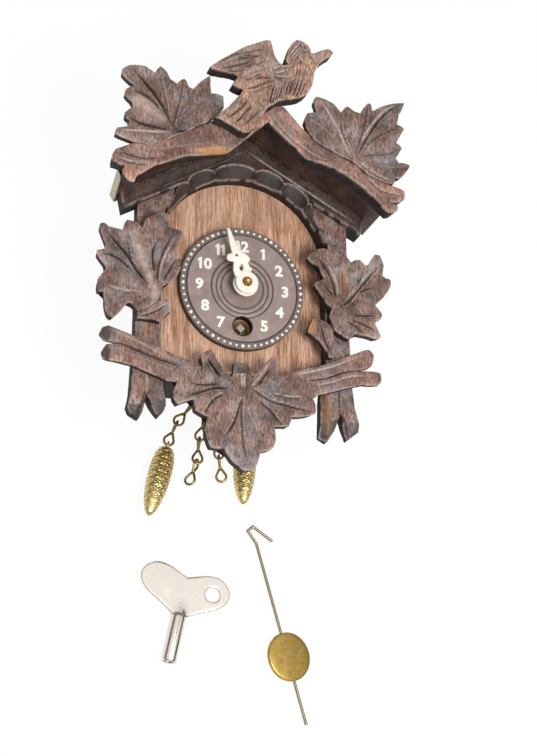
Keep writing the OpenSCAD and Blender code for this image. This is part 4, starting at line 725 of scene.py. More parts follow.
def walnut(name, dark, mid, light, sheen_tint, turn=0.0, rough=0.5, marks=True, coat=0.2):
    """Stained carved wood: fibres, painted sheen patches of a paler grey over the warm wood, dark pores and
    worn or bare places.

    The board that has no marks shows paler end grain on its two sawn ends instead.
    """
    m, tree, bsdf, coords = new_material(name, Coat_Weight=coat, Coat_Roughness=0.42)
    fibre = noise(tree, coords, 1900, (1, 0.24, 1), turn, detail=6, rough=0.8)
    broad = noise(tree, coords, 85, (1, 0.6, 1), turn, detail=3)
    speck = noise(tree, coords, 2600, (1, 0.2, 1), turn, detail=4, rough=0.7)
    tone = maths(tree, "ADD", times(tree, fibre, 0.7), times(tree, broad, 0.3))
    colour = ramp(tree, tone, [(0.37, rgb(dark)), (0.5, rgb(mid)), (0.63, rgb(light))])
    # Painted sheen: broad patches tinted towards a pale grey, as if the lacquer caught the light.
    sheen_patch = ramp(tree, noise(tree, coords, 110, detail=4, rough=0.7), [(0.48, 0.0), (0.64, 0.75)])
    colour = mix(tree, sheen_patch, colour, mix(tree, fibre, rgb("3c3233"), rgb(sheen_tint)))
    shade = ramp(tree, noise(tree, coords, 150, detail=5, rough=0.65), [(0.36, 0.55), (0.62, 1.4)])
    colour = mix(tree, 1.0, colour, shade, "MULTIPLY")
    pore = ramp(tree, speck, [(0.36, 0.85), (0.46, 0.0)])
    colour = mix(tree, pore, colour, rgb("241915"))
    if marks:
        # Painted shade where the mesh is marked dark: in and around the cuts and on shaded facets, partly
        # stain in the cuts.
        colour = tinted(tree, colour, "dark", 0.9, rgb("1c1210"))
        # A pale tint where the mesh is marked rim: partly edge wear, partly painted highlight on the cuts'
        # lit shoulders and painted sheen along ribs.
        patchy = ramp(tree, noise(tree, coords, 700, detail=3), [(0.38, 0.6), (0.58, 1.0)])
        colour = tinted(tree, colour, "rim", patchy, rgb("d2bcb0"))
        colour = tinted(tree, colour, "raw", 0.9, mix(tree, fibre, rgb("6a3814"), rgb("e6a85c")))
    else:
        normal = add(tree, "NewGeometry").outputs["Normal"]
        ends = []
        for x in (0.87, -0.87):
            dot = add(tree, "VectorMath", {0: normal, 1: (x, -0.49, 0)}, operation="DOT_PRODUCT")
            ends.append(dot.outputs["Value"])
        end = maths(tree, "GREATER_THAN", maths(tree, "MAXIMUM", *ends), 0.93)
        colour = mix(tree, times(tree, end, 0.85), colour, rgb("cfc3a4"))
    finished(tree, bsdf, colour, fibre, (0.3, rough + 0.15), (0.7, rough - 0.08))
    bump(tree, bsdf, maths(tree, "SUBTRACT", fibre, times(tree, pore, 0.6)), 0.6, 0.14)
    return m


carved = walnut("carved_walnut", "3c2a24", "72554a", "ac8a7a", "c0b4b4", coat=0.3)
# The carvings' walls: near-black walnut, partly darker stain and partly painted shade on sides that face away
# from the light.
shaded_carved_wall = walnut("carved_walnut_side_shaded", "120c0a", "221813", "3c2c24", "2c2422", rough=0.8, coat=0.0)
bird_wood = walnut("bird_walnut", "4a3229", "96705c", "dab29a", "bea89e", turn=-35)
branch_wood = walnut("branch_walnut", "42302a", "825f52", "b89482", "a89698", turn=65)
band_wood = walnut("band_walnut", "4a3329", "92695a", "cda088", "b09a92", turn=-70)
# The fascia: a darker copy of the walnut, painted shade under the visor roof.
shaded_fascia_wood = walnut("fascia_walnut_shaded", "22150f", "48322a", "6c4e42", "5a4e4a", turn=60)
roof_wood = walnut("roof_walnut", "24150f", "4e332a", "75503f", "5a4a46", turn=90, marks=False)


def plywood(name, dark, mid, light, pale, rough=0.5, coat=0.15):
    """Birch-like sheet with fine upright lines, darker streaks and short dashes."""
    m, tree, bsdf, coords = new_material(name, Roughness=rough, Coat_Weight=coat, Coat_Roughness=0.4)
    fine = noise(tree, coords, 2300, (1, 0.035, 1), detail=4, rough=0.7)
    fibre = noise(tree, coords, 1500, (1, 0.12, 1), detail=6, rough=0.8)
    broad = noise(tree, coords, 60, (1, 0.5, 1), detail=4)
    streak = noise(tree, coords, 420, (1, 0.04, 1), detail=4)
    speck = noise(tree, coords, 2400, (1, 0.1, 1), detail=2)
    tone = maths(tree, "ADD", times(tree, fine, 0.4), times(tree, streak, 0.3))
    tone = maths(tree, "ADD", tone, times(tree, fibre, 0.3))
    colour = ramp(tree, tone, [(0.42, rgb(dark)), (0.5, rgb(mid)), (0.57, rgb(light))])
    colour = mix(tree, ramp(tree, broad, [(0.42, 0.0), (0.66, 0.5)]), colour, rgb(pale))
    colour = mix(tree, ramp(tree, speck, [(0.35, 0.5), (0.45, 0.0)]), colour, rgb("5a3c28"))
    tree.links.new(colour, bsdf.inputs["Base Color"])
    bump(tree, bsdf, fibre, 0.35, 0.08)
    return m


front_wood = plywood("front_plywood", "7c4e38", "b8886a", "e6bb9c", "ecc6a8")
cover_wood = plywood("cover_plywood", "9a7a56", "b99a70", "d0b48c", "dcc4a0")
# The case boards are near-black: painted shade, where the case shows only in deep shadow beside and beneath
# the front.
case_wood = plywood("case_wood", "1e1410", "32241b", "4a372b", "3e2e24", 0.85, 0.0)


def plastic(name, colour, other, rough, painted_shade=0.0):
    """Moulded plastic with soft clouds, and painted shade in its grooves where the mesh is marked dark."""
    m, tree, bsdf, coords = new_material(name, IOR=1.5)
    cloud = noise(tree, coords, 260, detail=4)
    fine = noise(tree, coords, 2600, detail=3)
    shade = mix(tree, ramp(tree, cloud, [(0.35, 0.0), (0.7, 1.0)]), rgb(colour), rgb(other))
    if painted_shade:
        # Painted shade where the mesh is marked dark.
        shade = tinted(tree, shade, "dark", painted_shade, rgb("1e1512"))
    finished(tree, bsdf, shade, fine, (0.3, rough - 0.06), (0.7, rough + 0.08))
    bump(tree, bsdf, fine, 0.2, 0.03)
    return m


dial_plastic = plastic("dial_plastic", "8c7973", "a08e87", 0.42, 0.95)
ivory = plastic("hand_ivory", "f4efe4", "ebe3d4", 0.35)
print_white = plastic("numeral_white", "f6f3ec", "ece6da", 0.5)


def metal(name, colour, stain, rough, stained=0.5, size=300, depth=0.03, painted_shade=0.0):
    """Metal with stains of a size in cycles per metre, a fine uneven face, and painted shade where the mesh
    is marked dark.
    """
    m, tree, bsdf, coords = new_material(name, Metallic=1.0)
    cloud = noise(tree, coords, size, detail=5, rough=0.65)
    fine = noise(tree, coords, 4200, detail=3)
    shade = mix(tree, ramp(tree, cloud, [(0.4, 0.0), (0.75, stained)]), rgb(colour), rgb(stain))
    if painted_shade:
        # Painted shade where the mesh is marked dark.
        shade = tinted(tree, shade, "dark", painted_shade, rgb("33260c"))
    finished(tree, bsdf, shade, cloud, (0.3, rough - 0.05), (0.75, rough + 0.15))
    bump(tree, bsdf, fine, 0.25, depth)
    return m


brass = metal("movement_brass", "d8b36a", "9c7638", 0.3)
steel = metal("movement_steel", "a8a49e", "6e6a64", 0.4)
bronze = metal("chain_bronze", "a8945c", "5e4e2c", 0.34, 0.9, 400)
gilt = metal("cone_gilt", "f2dc9c", "ccae6c", 0.36, 0.6, 200, depth=0.008, painted_shade=0.66)
nickel = metal("key_nickel", "ece4da", "dcd0c4", 0.22, 0.5, 160, depth=0.004)
rod_steel = metal("rod_steel", "aa9c80", "80725a", 0.22, 0.5, 250, depth=0.002)
bob_brass = metal("bob_brass", "caaa5f", "927438", 0.38, 0.9, 420, depth=0.01)

dull_brass = metal("nut_brass", "a07c48", "5e4424", 0.5, 0.6)
plate_brass = metal("plate_brass", "8a7238", "4e4020", 0.45)
arbor_end = metal("arbor_end", "e8c09a", "b88a60", 0.4)

SLOT_LOOKS = {
    "carved_wood": roof_wood, "plywood": front_wood, "case_wood": case_wood, "cover_wood": cover_wood,
    "dial_plastic": dial_plastic, "hand_plastic": ivory, "movement_brass": brass,
    "movement_steel": steel, "chain_bronze": bronze, "cone_brass": gilt, "key_nickel": nickel,
    "rod_steel": rod_steel, "bob_brass": bob_brass,
}
NODE_LOOKS = {
    "hand_nut": dull_brass, "cannon_pinion": dull_brass, "centre_arbor": arbor_end,
    "movement_front_plate": plate_brass,
}
for part in frame["record"]["subparts"]:
    materials = frame["nodes"][part["node"]].data.materials
    materials.clear()
    materials.append(NODE_LOOKS.get(part["node"], SLOT_LOOKS[part["material_slot"]]))

# Carvings
leaf_low, leaf_high = levels("left_leaf")
post_low, post_high = levels("left_post")
_, lower_high = levels("lower_carving")
crest_low, crest_high = levels("crest_carving")
TWIG_STEP = 0.8
BRANCH_STEP = 0.6
CREST_STEP = 1.0
CREST_LEAF = 3.2
LIFT = 3.0
LOWER_T = 5.0


def carving(name, node, outline, low, high, cuts, look=carved, **options):
    verts, faces, indices, values = relief(bowed(outline), low, high, cuts, **options)
    add_piece(name + "_carving", verts, faces, [look, shaded_carved_wall], slot="carved_wood", stands_for=[node],
              indices=indices, values=values)


def swell(x, y, size, height):
    """A face that rises to a domed hub."""
    return lambda p: -height * np.exp(-(((p[:, 0] - x) ** 2 + (p[:, 1] - y) ** 2) / size**2))


def sheen(p, line, width):
    """A soft bright streak along a rib: a painted sheen."""
    return bell(near(p, curve(line))[0], width) * (0.75 + 0.25 * waves(p, 2.5, 21))


def sighted(points, lift=LIFT):
    """Points drawn at the posts' front level, as they look from the camera when lifted."""
    level = CAMERA_AT[2] - post_high
    return [(*(v + lift * (eye - v) / level for v, eye in zip(p[:2], CAMERA_AT)), *p[2:]) for p in points]


def sighted_cuts(cuts):
    return [(*c[:3], sighted(c[3])) for c in cuts]


def left_leaf_face(p):
    # A painted sheen along the rib.
    rib = sheen(p, [(-30.5, -9), (-31.8, -4.5), (-34.2, 2.5), (-37, 9)], 1.5)
    return swell(-31, -7, 7, 0.9)(p), 0, 0.75 * rib


def left_crest_face(p):
    # A painted sheen across the lobe.
    lobe = sheen(p, [(-34, 42.6), (-38, 45.4), (-43, 47.6)], 2.2)
    return swell(-31, 39, 8, 0.4)(p), 0, 0.6 * lobe


def lower_face(p):
    """The lower leaf's hub, and the lowered stub of its stalk with painted shade in its recess."""
    stub = (p[:, 1] > -31.2) & (np.abs(p[:, 0] + 1.9) < 3.2)
    return swell(-1.9, -38, 9, 0.9)(p) + 1.1 * stub, 0.55 * stub


def branch_face(fall, end, tone):
    """A branch that falls away outwards, with painted shade on its sloping sawn ends."""
    end = np.clip(end, 0, 3)
    return 0.03 * np.clip(fall, 0, 20) + 0.5 * end, tone * unit(end * 3)


def left_branch_face(p):
    return branch_face(-30 - p[:, 0], -44.2 - p[:, 0], 0.75)


def right_branch_face(p):
    return branch_face(p[:, 0] - 28, p[:, 0] - 41.6 + 0.3 * (p[:, 1] + 20), 0.4)


def band_face(p):
    """A chamfer along the lower left edge, where the stain has been cut through."""
    x, y = p[:, 0], p[:, 1]
    down = y - 32.1 - 0.208 * (x + 24.2)
    ends = unit((x + 26) / 3) * unit((-11.5 - x) / 1.5)
    return 1.3 * unit(1 - down / 1.7) * ends


def bird_face(p):
    x, y = p[:, 0], p[:, 1]
    tail = 0.5 * unit((52 - y) / 8)
    head = 0.4 * unit((y - 66) / 3) * (x > 4)
    eye = bell(np.hypot(x - 12, y - 72.8), 0.5)
    return tail + head + 0.7 * eye, eye


carving("left_leaf", "left_leaf", LEFT_LEAF, leaf_low, leaf_high, LEFT_LEAF_CUTS,
        under=0.4, shape=left_leaf_face)
carving("left_twig", "left_leaf", LEFT_TWIG, leaf_low, leaf_high - TWIG_STEP,
        [(1.0, 0.3, 0.1, [(-35, -15.4), (-30, -13), (-26.6, -10.5)])])
carving("right_leaf", "right_leaf", RIGHT_LEAF, leaf_low, leaf_high, RIGHT_LEAF_CUTS,
        under=0.4, shape=swell(31.5, -9, 7, 0.9), spots=[(32.4, 3.4, 0.7, 5.5, 0.7)])
carving("right_twig", "right_leaf", RIGHT_TWIG, leaf_low, leaf_high - TWIG_STEP,
        [(1.0, 0.3, 0.1, [(27.5, -21), (25.5, -16), (24.5, -11.5)])],
        spots=[(21.6, -12.8, 1.5, 2.8, 0.8)])
carving("lower_leaf", "lower_carving", sighted(LOWER_LEAF), lower_high - LOWER_T, lower_high,
        sighted_cuts(LOWER_LEAF_CUTS), under=0.45, shape=lower_face,
        spots=[(0.2, -54.4, 1.3, 0.9, 0.6), (-4.2, -31.9, 0.8, 1.4, 0.5)])
for name, outline, cuts, face in (
    ("left_branch", LEFT_BRANCH, LEFT_BRANCH_CUTS, left_branch_face),
    ("right_branch", RIGHT_BRANCH, RIGHT_BRANCH_CUTS, right_branch_face),
):
    carving(name, "lower_carving", sighted(outline), post_high, lower_high - BRANCH_STEP,
            sighted_cuts(cuts), branch_wood, slope=(0.9, 0.3), edge=0.2, shape=face)
carving("crest_band", "crest_carving", BAND, crest_low, crest_high - CREST_STEP, BAND_CUTS, band_wood,
        slope=(1.2, 0.3), under=0.5, shape=band_face,
        spots=[(-14.5, 34.7, 3.3, 1.2, 1), (-19, 33.9, 3.6, 0.9, 1)])
for name, outline, cuts, face in (
    ("left_crest", LEFT_CREST, LEFT_CREST_CUTS, left_crest_face),
    ("right_crest", RIGHT_CREST, RIGHT_CREST_CUTS, swell(29.5, 38, 8, 0.4)),
):
    carving(name, "crest_carving", outline, crest_high - CREST_LEAF, crest_high, cuts, under=0.3, shape=face)
carving("bird", "bird", BIRD, *levels("bird"), BIRD_CUTS, bird_wood,
        slope=(1.6, 0.35), shape=bird_face, spacing=0.4)

# Posts and fascia
ROOF_ANGLE = math.radians(29.5)
SLOPE = math.tan(ROOF_ANGLE)
RIDGE = 51.4
ARCH_Y = 9.75
ARCH_R = 28.0
FASCIA_DROP = 6.8
SEAM = 0.02
HORN = [(25.5, 24.5), (27.3, 19.5), (27.6, 15)]
POST = [
    (27.6, 5), (27.6, -24), (25.8, -35.8), (25.6, -44.5), (25.3, -48.6), (27.8, -50.1), (30.2, -46.5),
    (32, -40.4), (33.4, -45.6), (34.8, -49.1), (38.3, -46.3), (38.4, -44.2), (37, -39), (36.2, -31.5),
    (35.8, -15),
]
LEFT_POST = [
    (-35.7, -15), (-35.9, -22), (-36.5, -33.3), (-36.9, -39.6), (-37.7, -43.6, 0.1), (-36.8, -45.6),
    (-33.9, -47.2), (-32.9, -45.2), (-32.3, -42), (-32, -39.1), (-30.6, -42.4), (-29.3, -44.3),
    (-27.7, -46.1), (-25.9, -44.1), (-25.4, -42.4), (-26, -39.8), (-26.8, -36.6), (-27.5, -30),
    (-27.6, -24), (-27.6, 5),
]
RIGHT_POST_CUTS = [
    (1.3, 0.2, 0.3, [(31.7, -31), (31.8, -36), (31.9, -42)]),
    (1.0, 0.2, 0.2, [(31.5, 14), (31.6, -14)]),
    (1.2, 0.3, 0.2, [(32.3, 17.6), (30, 17.2), (27.2, 18.6)]),
    (1.2, 0.3, 0.2, [(33.5, 13.6), (30.6, 13.4), (27.6, 14.6)]),
]
LEFT_POST_CUTS = [
    (1.1, 0.2, 0.8, [(-32.0, -29), (-32.0, -33), (-32.0, -39)]),
    (1.0, 0.2, 0.2, [(-31.5, 14), (-31.6, -14)]),
    (1.2, 0.3, 0.2, [(-32.3, 17.6), (-30, 17.2), (-27.2, 18.6)]),
]


def roof_y(x, down=0.0):
    return RIDGE - down - SLOPE * abs(x)


def mirrored(points):
    return [(-x, y) for x, y in points]


def post_face(end, notch, tone, inner=0.0):
    """A forked foot with a notch in its fork, and painted shade on its sloping sawn ends and in the notch."""
    end = np.clip(end, 0, 4)
    return 0.45 * end + 0.9 * notch + inner, tone * unit(end * 4 + notch * 2)


def right_post_face(p):
    x, y = p[:, 0], p[:, 1]
    end = np.where(x < 31.4, -43.9 - y + 0.35 * (x - 27), -43.2 - y - 0.1 * (x - 34.5))
    notch = unit(0.9 - np.abs(x - 31.9 + 0.35 * (y + 41))) * (y < -40)
    return post_face(end, notch, 0.8, np.clip((27.6 - x) * 1.1, 0, 1.6) * (y < -33))


def left_post_face(p):
    x, y = p[:, 0], p[:, 1]
    end = np.where(x < -32, -42.9 - y, -41.6 - y + 0.45 * (x + 28.5))
    return post_face(end, unit(1.0 - np.abs(x + 32.3 - 0.3 * (y + 40))) * (y < -39), 0.85)


post_top = [(35.7, roof_y(35.7, FASCIA_DROP) - SEAM), (22.82, roof_y(22.8, FASCIA_DROP) - SEAM)]
post_top += [(x + SEAM, y) for x, y in HORN] + [(27.9, 13), (28.02, 9.75), (27.9, 6.5)]
left_post = mirrored(post_top[:1]) + LEFT_POST + mirrored(post_top[:0:-1])
for name, outline, cuts, face, spot in (
    ("right_post", POST + post_top, RIGHT_POST_CUTS, right_post_face, (27.2, -40, 1, 6, 0.4)),
    ("left_post", left_post, LEFT_POST_CUTS, left_post_face, (-32.5, -17.5, 0.7, 3, 0.6)),
):
    carving(name, name, outline, post_low, post_high, cuts, shape=face, slope=(1.2, 0.3), spots=[spot])

half = [(41.5, roof_y(41.5)), (40.3, roof_y(40.3, FASCIA_DROP)), (22.78, roof_y(22.8, FASCIA_DROP))]
half += [(x - SEAM, y) for x, y in HORN]
arch = [(ARCH_R * math.sin(a), ARCH_Y + ARCH_R * math.cos(a)) for a in np.radians(np.linspace(79, -79, 80))]
fascia_outline = [(0, RIDGE)] + half + arch + mirrored(half[::-1])
SCALLOPS = [-62, -40, -20.5, 6.9, 26.5, 46, 64]
FASCIA_CUTS = [(0.8, 0.3, 0.3, [(side * x, roof_y(x, 4.4)) for x in (1, 20, 39)]) for side in (-1, 1)]


def fascia_face(p):
    """Scallops chipped round the arch, with painted shade on their facets and a painted highlight line along
    each.
    """
    x, y = p[:, 0], p[:, 1]
    r = np.hypot(x, y - ARCH_Y)
    angle = np.degrees(np.arctan2(x, y - ARCH_Y))
    down, line = np.zeros(len(p)), np.zeros(len(p))
    for a, b in zip(SCALLOPS, SCALLOPS[1:]):
        share = unit(1 - ((angle - (a + b) / 2) / ((b - a) / 2)) ** 2)
        front = ARCH_R + 1.6 + 2.4 * np.sqrt(share)
        here = (angle >= a) & (angle < b)
        down = np.where(here, np.clip((front - r) * 0.95, 0, 3.4), down)
        line = np.where(here, bell(r - front - 0.1, 0.2), line)
    end = np.clip((np.abs(x) - 38.6) * 0.5, 0, 1.4)
    # Drop, painted shade on the scallop facets, and the painted highlight line.
    return down + end, 0.6 * unit(down * 4), 0.7 * line


carving("fascia", "fascia", fascia_outline[::-1], *levels("fascia"), FASCIA_CUTS, shaded_fascia_wood,
        shape=fascia_face, slope=(1, 0.2))

# The left visor board: its sawn end leans in towards the wall
END_LEAN = 2.8
END_X = -40
roof = frame["nodes"]["left_roof"]
shifted = np.array([v.co for v in roof.data.vertices]) / MM
back, front = shifted[:, 2].min(), shifted[:, 2].max()
lean = END_LEAN * (front - shifted[:, 2]) / (front - back) * (shifted[:, 0] < END_X)
shifted[:, 0] += lean * math.cos(ROOF_ANGLE)
shifted[:, 1] += lean * math.sin(ROOF_ANGLE)
add_piece("left_visor_board", shifted, [tuple(f.vertices) for f in roof.data.polygons], [roof_wood],
          slot="carved_wood", stands_for=["left_roof"])

# Dial
dial_low, dial_high = levels("dial")
DIAL_R = 21
KEY_Y = -13.2
KEY_R = 3.4
HOUR_PIPE_R = 1.6
BEADS = 60
BEAD_R = 0.48
FIFTH_BEAD_R = 0.62
BEADS_AT = 19.95
GROOVES = (7.15, 8.75, 10.45, 18.65)
RINGS = [
    (0, -0.75), (2.2, -0.72), (4.5, -0.5), (6.4, -0.16), (6.9, -0.05), (7.15, -0.3), (7.4, -0.05),
    (7.95, 0.12), (8.5, -0.05), (8.75, -0.3), (9.0, -0.05), (9.6, 0.14), (10.2, -0.02), (10.45, -0.32),
    (10.75, 0), (18.4, 0), (18.65, -0.35), (18.95, -0.05), (20.85, -0.05), (21, -0.2),
]
ring_r, ring_h = (np.array(v) for v in zip(*RINGS))


def circle(r, count, x=0.0, y=0.0):
    a = np.arange(count) * 2 * math.pi / count
    return np.stack([x + r * np.cos(a), y + r * np.sin(a)], 1)


dial_rows = sorted(set(np.round(np.concatenate([ring_r[2:-1], np.arange(2.5, 20.8, 0.45)]), 2)))
verts, faces, indices, _ = relief(
    circle(DIAL_R, 240), dial_low, dial_high, edge=0.25, slope=(1, 0), rough=0,
    free=np.vstack([circle(r, int(2 * math.pi * r / 0.42)) for r in dial_rows]),
    shape=lambda p: -np.interp(np.hypot(p[:, 0], p[:, 1]), ring_r, ring_h),
    holes=[circle(HOUR_PIPE_R + 0.5, 40), circle(KEY_R, 64, 0, KEY_Y)])
radius = np.hypot(verts[:, 0], verts[:, 1])
# Painted shade in the ring grooves, and half as much darkening over the bead track between the beads.
lines = [bell(radius - r, 0.18) for r in GROOVES] + [0.5 * ((radius > 18.9) & (radius < 20.9))]
# The dial's side wall: near-black, painted shade on the side that faces away from the light.
walls = plastic("dial_side_shaded", "2a1f1c", "1c1412", 0.5)
add_piece("dial_face", verts, faces, [dial_plastic, walls], slot="dial_plastic", stands_for=["dial"],
          indices=indices, values={"dark": np.max(lines, axis=0)})
beads = []
for k in range(BEADS):
    a = math.radians(360 / BEADS * k)
    size = BEAD_R if k % 5 else FIFTH_BEAD_R
    profile = [(size * math.sin(t), dial_high - 0.1 + size * 0.8 * math.cos(t))
               for t in np.linspace(0, math.pi / 2, 6)]
    bead_verts, bead_faces = lathe(profile + [(size, dial_high - 0.5), (0, dial_high - 0.5)], 14)
    beads.append((bead_verts + (BEADS_AT * math.sin(a), BEADS_AT * math.cos(a), 0), bead_faces))
add_piece("dial_beads", *merged(beads), [print_white], slot="dial_plastic")
sleeve = [(KEY_R, dial_high - 0.15), (KEY_R - 0.25, dial_high - 0.15), (KEY_R - 0.3, dial_low - 2),
          (KEY_R - 0.05, dial_low - 2)]
sleeve_verts, sleeve_faces = lathe(sleeve + sleeve[:1], 64)
# The keyhole's lining: near-black brass, painted shade inside the keyhole.
shaded_sleeve_brass = metal("sleeve_brass_shaded", "3c3420", "1a160c", 0.5, 0.7)
add_piece("keyhole_sleeve", sleeve_verts + (0, KEY_Y, 0), sleeve_faces, [shaded_sleeve_brass], slot="movement_brass")


ONE = [(-0.15, 1.95), (0.5, 1.95), (0.5, -1.95), (-0.42, -1.95), (-0.42, 0.85), (-1.0, 0.7), (-1.0, 1.25)]
ONE_W = 1.5
DIGIT_H = 3.85
DIGIT_GAP = 0.35
HOURS_AT = 14.5


def prism(line, low, high):
    """A straight-sided slab on a closed line."""
    n = len(line)
    verts = [(x, y, z) for z in (low, high) for x, y in line]
    faces = [tuple(range(n, 2 * n)), tuple(range(n))[::-1]]
    return np.array(verts, float), faces + quads(range(n), range(n, 2 * n))


def digit(sign):
    """One raised figure about its own middle, with its width."""
    if sign == "1":
        return *prism(ONE, 0, 0.2), ONE_W
    text = bpy.data.curves.new("numeral", "FONT")
    text.body = sign
    text.size = 5.3 * MM
    text.offset = 0.21 * MM
    text.extrude = 0.1 * MM
    text.resolution_u = 6
    obj = bpy.data.objects.new("numeral", text)
    scene.collection.objects.link(obj)
    graph = bpy.context.evaluated_depsgraph_get()
    mesh = bpy.data.meshes.new_from_object(obj.evaluated_get(graph))
    verts = np.array([v.co for v in mesh.vertices]) / MM
    faces = [tuple(f.vertices) for f in mesh.polygons]
    bpy.data.objects.remove(obj)
    bpy.data.curves.remove(text)
    bpy.data.meshes.remove(mesh)
    low, high = verts.min(0), verts.max(0)
    verts -= ((low[0] + high[0]) / 2, (low[1] + high[1]) / 2, low[2])
    return verts * (1, DIGIT_H / (high[1] - low[1]), 1), faces, high[0] - low[0]


def numerals():
    """The dial's hours as one raised mesh. The keyhole takes the place of the six."""
    parts = []
    for hour in (1, 2, 3, 4, 5, 7, 8, 9, 10, 11, 12):
        digits = [digit(sign) for sign in str(hour)]
        x = -(sum(d[2] for d in digits) + DIGIT_GAP * (len(digits) - 1)) / 2
        a = math.radians(30 * hour)
        for verts, faces, width in digits:
            at = (HOURS_AT * math.sin(a) + x + width / 2, HOURS_AT * math.cos(a), dial_high - 0.04)
            parts.append((verts + at, faces))
            x += width + DIGIT_GAP
    return merged(parts)


add_piece("dial_numerals", *numerals(), [print_white], slot="dial_plastic")

# Hands
for name, line, body, hub, bore, holes in (
    ("hour", HOUR_LINE, "hour", 4.2, 1.62, [circle(0.7, 24, -1.6, 5.2)]),
    ("minute", MINUTE_LINE, "minute", 3.8, 1.07,
     [circle(1, 32) * (0.65, 1.2) + (-1.8, 5), circle(0.42, 16, -3.4, 9.1)]),
):
    low, high = levels(name + "_hand")
    verts, faces, _, _ = relief(bowed(line), low, high - 0.06, spacing=0.35, edge=0.28, slope=(1.1, 0.14),
                                holes=holes + [circle(bore, 32)], rough=0)
    rim = [(bore, low), (hub - 0.1, low), (hub, low + 0.1), (hub, high - 0.3), (hub - 0.12, high - 0.08),
           (hub - 0.35, high), (hub * 0.72, high), (bore + 0.1, high - 0.05), (bore, high - 0.15)]
    hub_verts, hub_faces = lathe(rim + rim[:1], 72)
    add_piece(name + "_hand_face", *merged([(verts, faces), (hub_verts, hub_faces)]), [ivory],
              body=body, slot="hand_plastic", stands_for=[name + "_hand"])

# Chains: each link is two drop-shaped loops of wire, square to each other
LOOP_R = 1.65
WIRE = 0.45
PLAY = 0.25
PITCH = 5.8
EYE_R = 1.8
EYES = [(-7.9, -30.3, 5), (-3.8, -33.6, 5), (3.8, -31.6, 5), (8.3, -30.3, 5)]
STRANDS = {
    "chain_left": ("left_strand", EYES[0], [(-128, -17, 10), (-113, 0, 0)]),
    "chain_left_free": ("left_free_strand", EYES[1], [(-101.5, -17, -6), (-95, 0, 4), (-111, 0, 34)]),
    "chain_right_free": ("right_free_strand", EYES[2], [(-106, -17, 8), (-91, 0, -6), (-83, 0, 14)]),
    "chain_right": ("right_strand", EYES[3], [(-69, -19, 0)]),
}


def heading(turn, rise=0.0):
    a, b = math.radians(turn), math.radians(rise)
    return np.array([math.cos(a) * math.cos(b), math.sin(a) * math.cos(b), math.sin(b)])


def link_places(eye, turns):
    """Middles of a strand's links, as the part sets them."""
    places = []
    for i, (turn, rise, _) in enumerate(turns):
        way = heading(turn, rise)
        if i == 0:
            at = np.array(eye) + EYE_R * heading(turn) + way * (LOOP_R - 2 * WIRE - PLAY + PITCH / 2)
        else:
            gap = 2 * LOOP_R - 2 * WIRE - PLAY
            at = at + (heading(*turns[i - 1][:2]) + way) * (PITCH + gap) / 2
        places.append(at)
    return places


def link_mesh():
    """A wire link along X: the loop ahead lies flat, the one behind stands up."""
    far = PITCH / 2
    a = math.acos(LOOP_R / far)
    arc = [(far + LOOP_R * math.cos(t), LOOP_R * math.sin(t))
           for t in np.linspace(a - math.pi, math.pi - a, 40)]
    ends = np.linspace(0, 1, 8)[:-1]
    first = [(arc[0][0] * t + 0.1 * (1 - t), arc[0][1] * t - 0.28 * (1 - t)) for t in ends]
    last = [(arc[-1][0] * t + 0.1 * (1 - t), arc[-1][1] * t + 0.28 * (1 - t)) for t in ends[::-1]]
    ahead, faces = tube([(x, y, 0) for x, y in first + arc + last], WIRE * 0.93)
    behind = moved(ahead, turned(180, "Z") @ turned(90, "X"))
    turns = np.linspace(0, 2.5 * 2 * math.pi, 40)
    wrap = tube([(-0.75 + 1.5 * t / turns[-1], 0.3 * math.cos(t), 0.3 * math.sin(t)) for t in turns], 0.26, 8)
    return merged([(ahead, faces), (behind, faces), wrap])


link_verts, link_faces = link_mesh()
for name, (body, eye, turns) in STRANDS.items():
    parts = [(moved(link_verts, placed(at, *turn)), link_faces)
             for at, turn in zip(link_places(eye, turns), turns)]
    add_piece(name + "_links", *merged(parts), [bronze], body=body, slot="chain_bronze",
              stands_for=[name], sharp=60)

# Cone weights
CONE_LEN = 25.0
CONE_R = 3.95
CONE_SHAPE = [
    (0, 0.4), (0.02, 0.6), (0.06, 0.74), (0.12, 0.86), (0.2, 0.95), (0.35, 1), (0.5, 0.98), (0.62, 0.92),
    (0.72, 0.83), (0.8, 0.73), (0.87, 0.6), (0.93, 0.46), (0.97, 0.33), (1, 0.12),
]
CONE_RING = 1.1
CONE_WIRE = 0.4
SCALE_ROWS = 19
SCALES = 8


def cone_mesh():
    """A fir cone along X: rows of overlapping scales, each row half a scale round from the last, with painted
    shade in the crevices where one row meets the next.
    """
    steps, sides = 300, 96
    u = np.linspace(0, 1, steps)[:, None]
    a = (np.arange(sides) * 2 * math.pi / sides)[None, :]
    row = u * SCALE_ROWS
    f = row + 0.55 * np.abs(np.sin(a * SCALES / 2 + math.pi / 2 * np.floor(row)))
    f = f - np.floor(f)
    base = CONE_R * np.interp(u, *zip(*CONE_SHAPE))
    r = base * (0.92 + 0.08 * f**0.8)
    x = CONE_RING + u * CONE_LEN + 0 * a
    verts = np.stack([x, r * np.cos(a), r * np.sin(a)], -1).reshape(-1, 3)
    return verts, wrapped(np.arange(steps * sides).reshape(steps, sides)), unit(1 - f / 0.25).ravel()


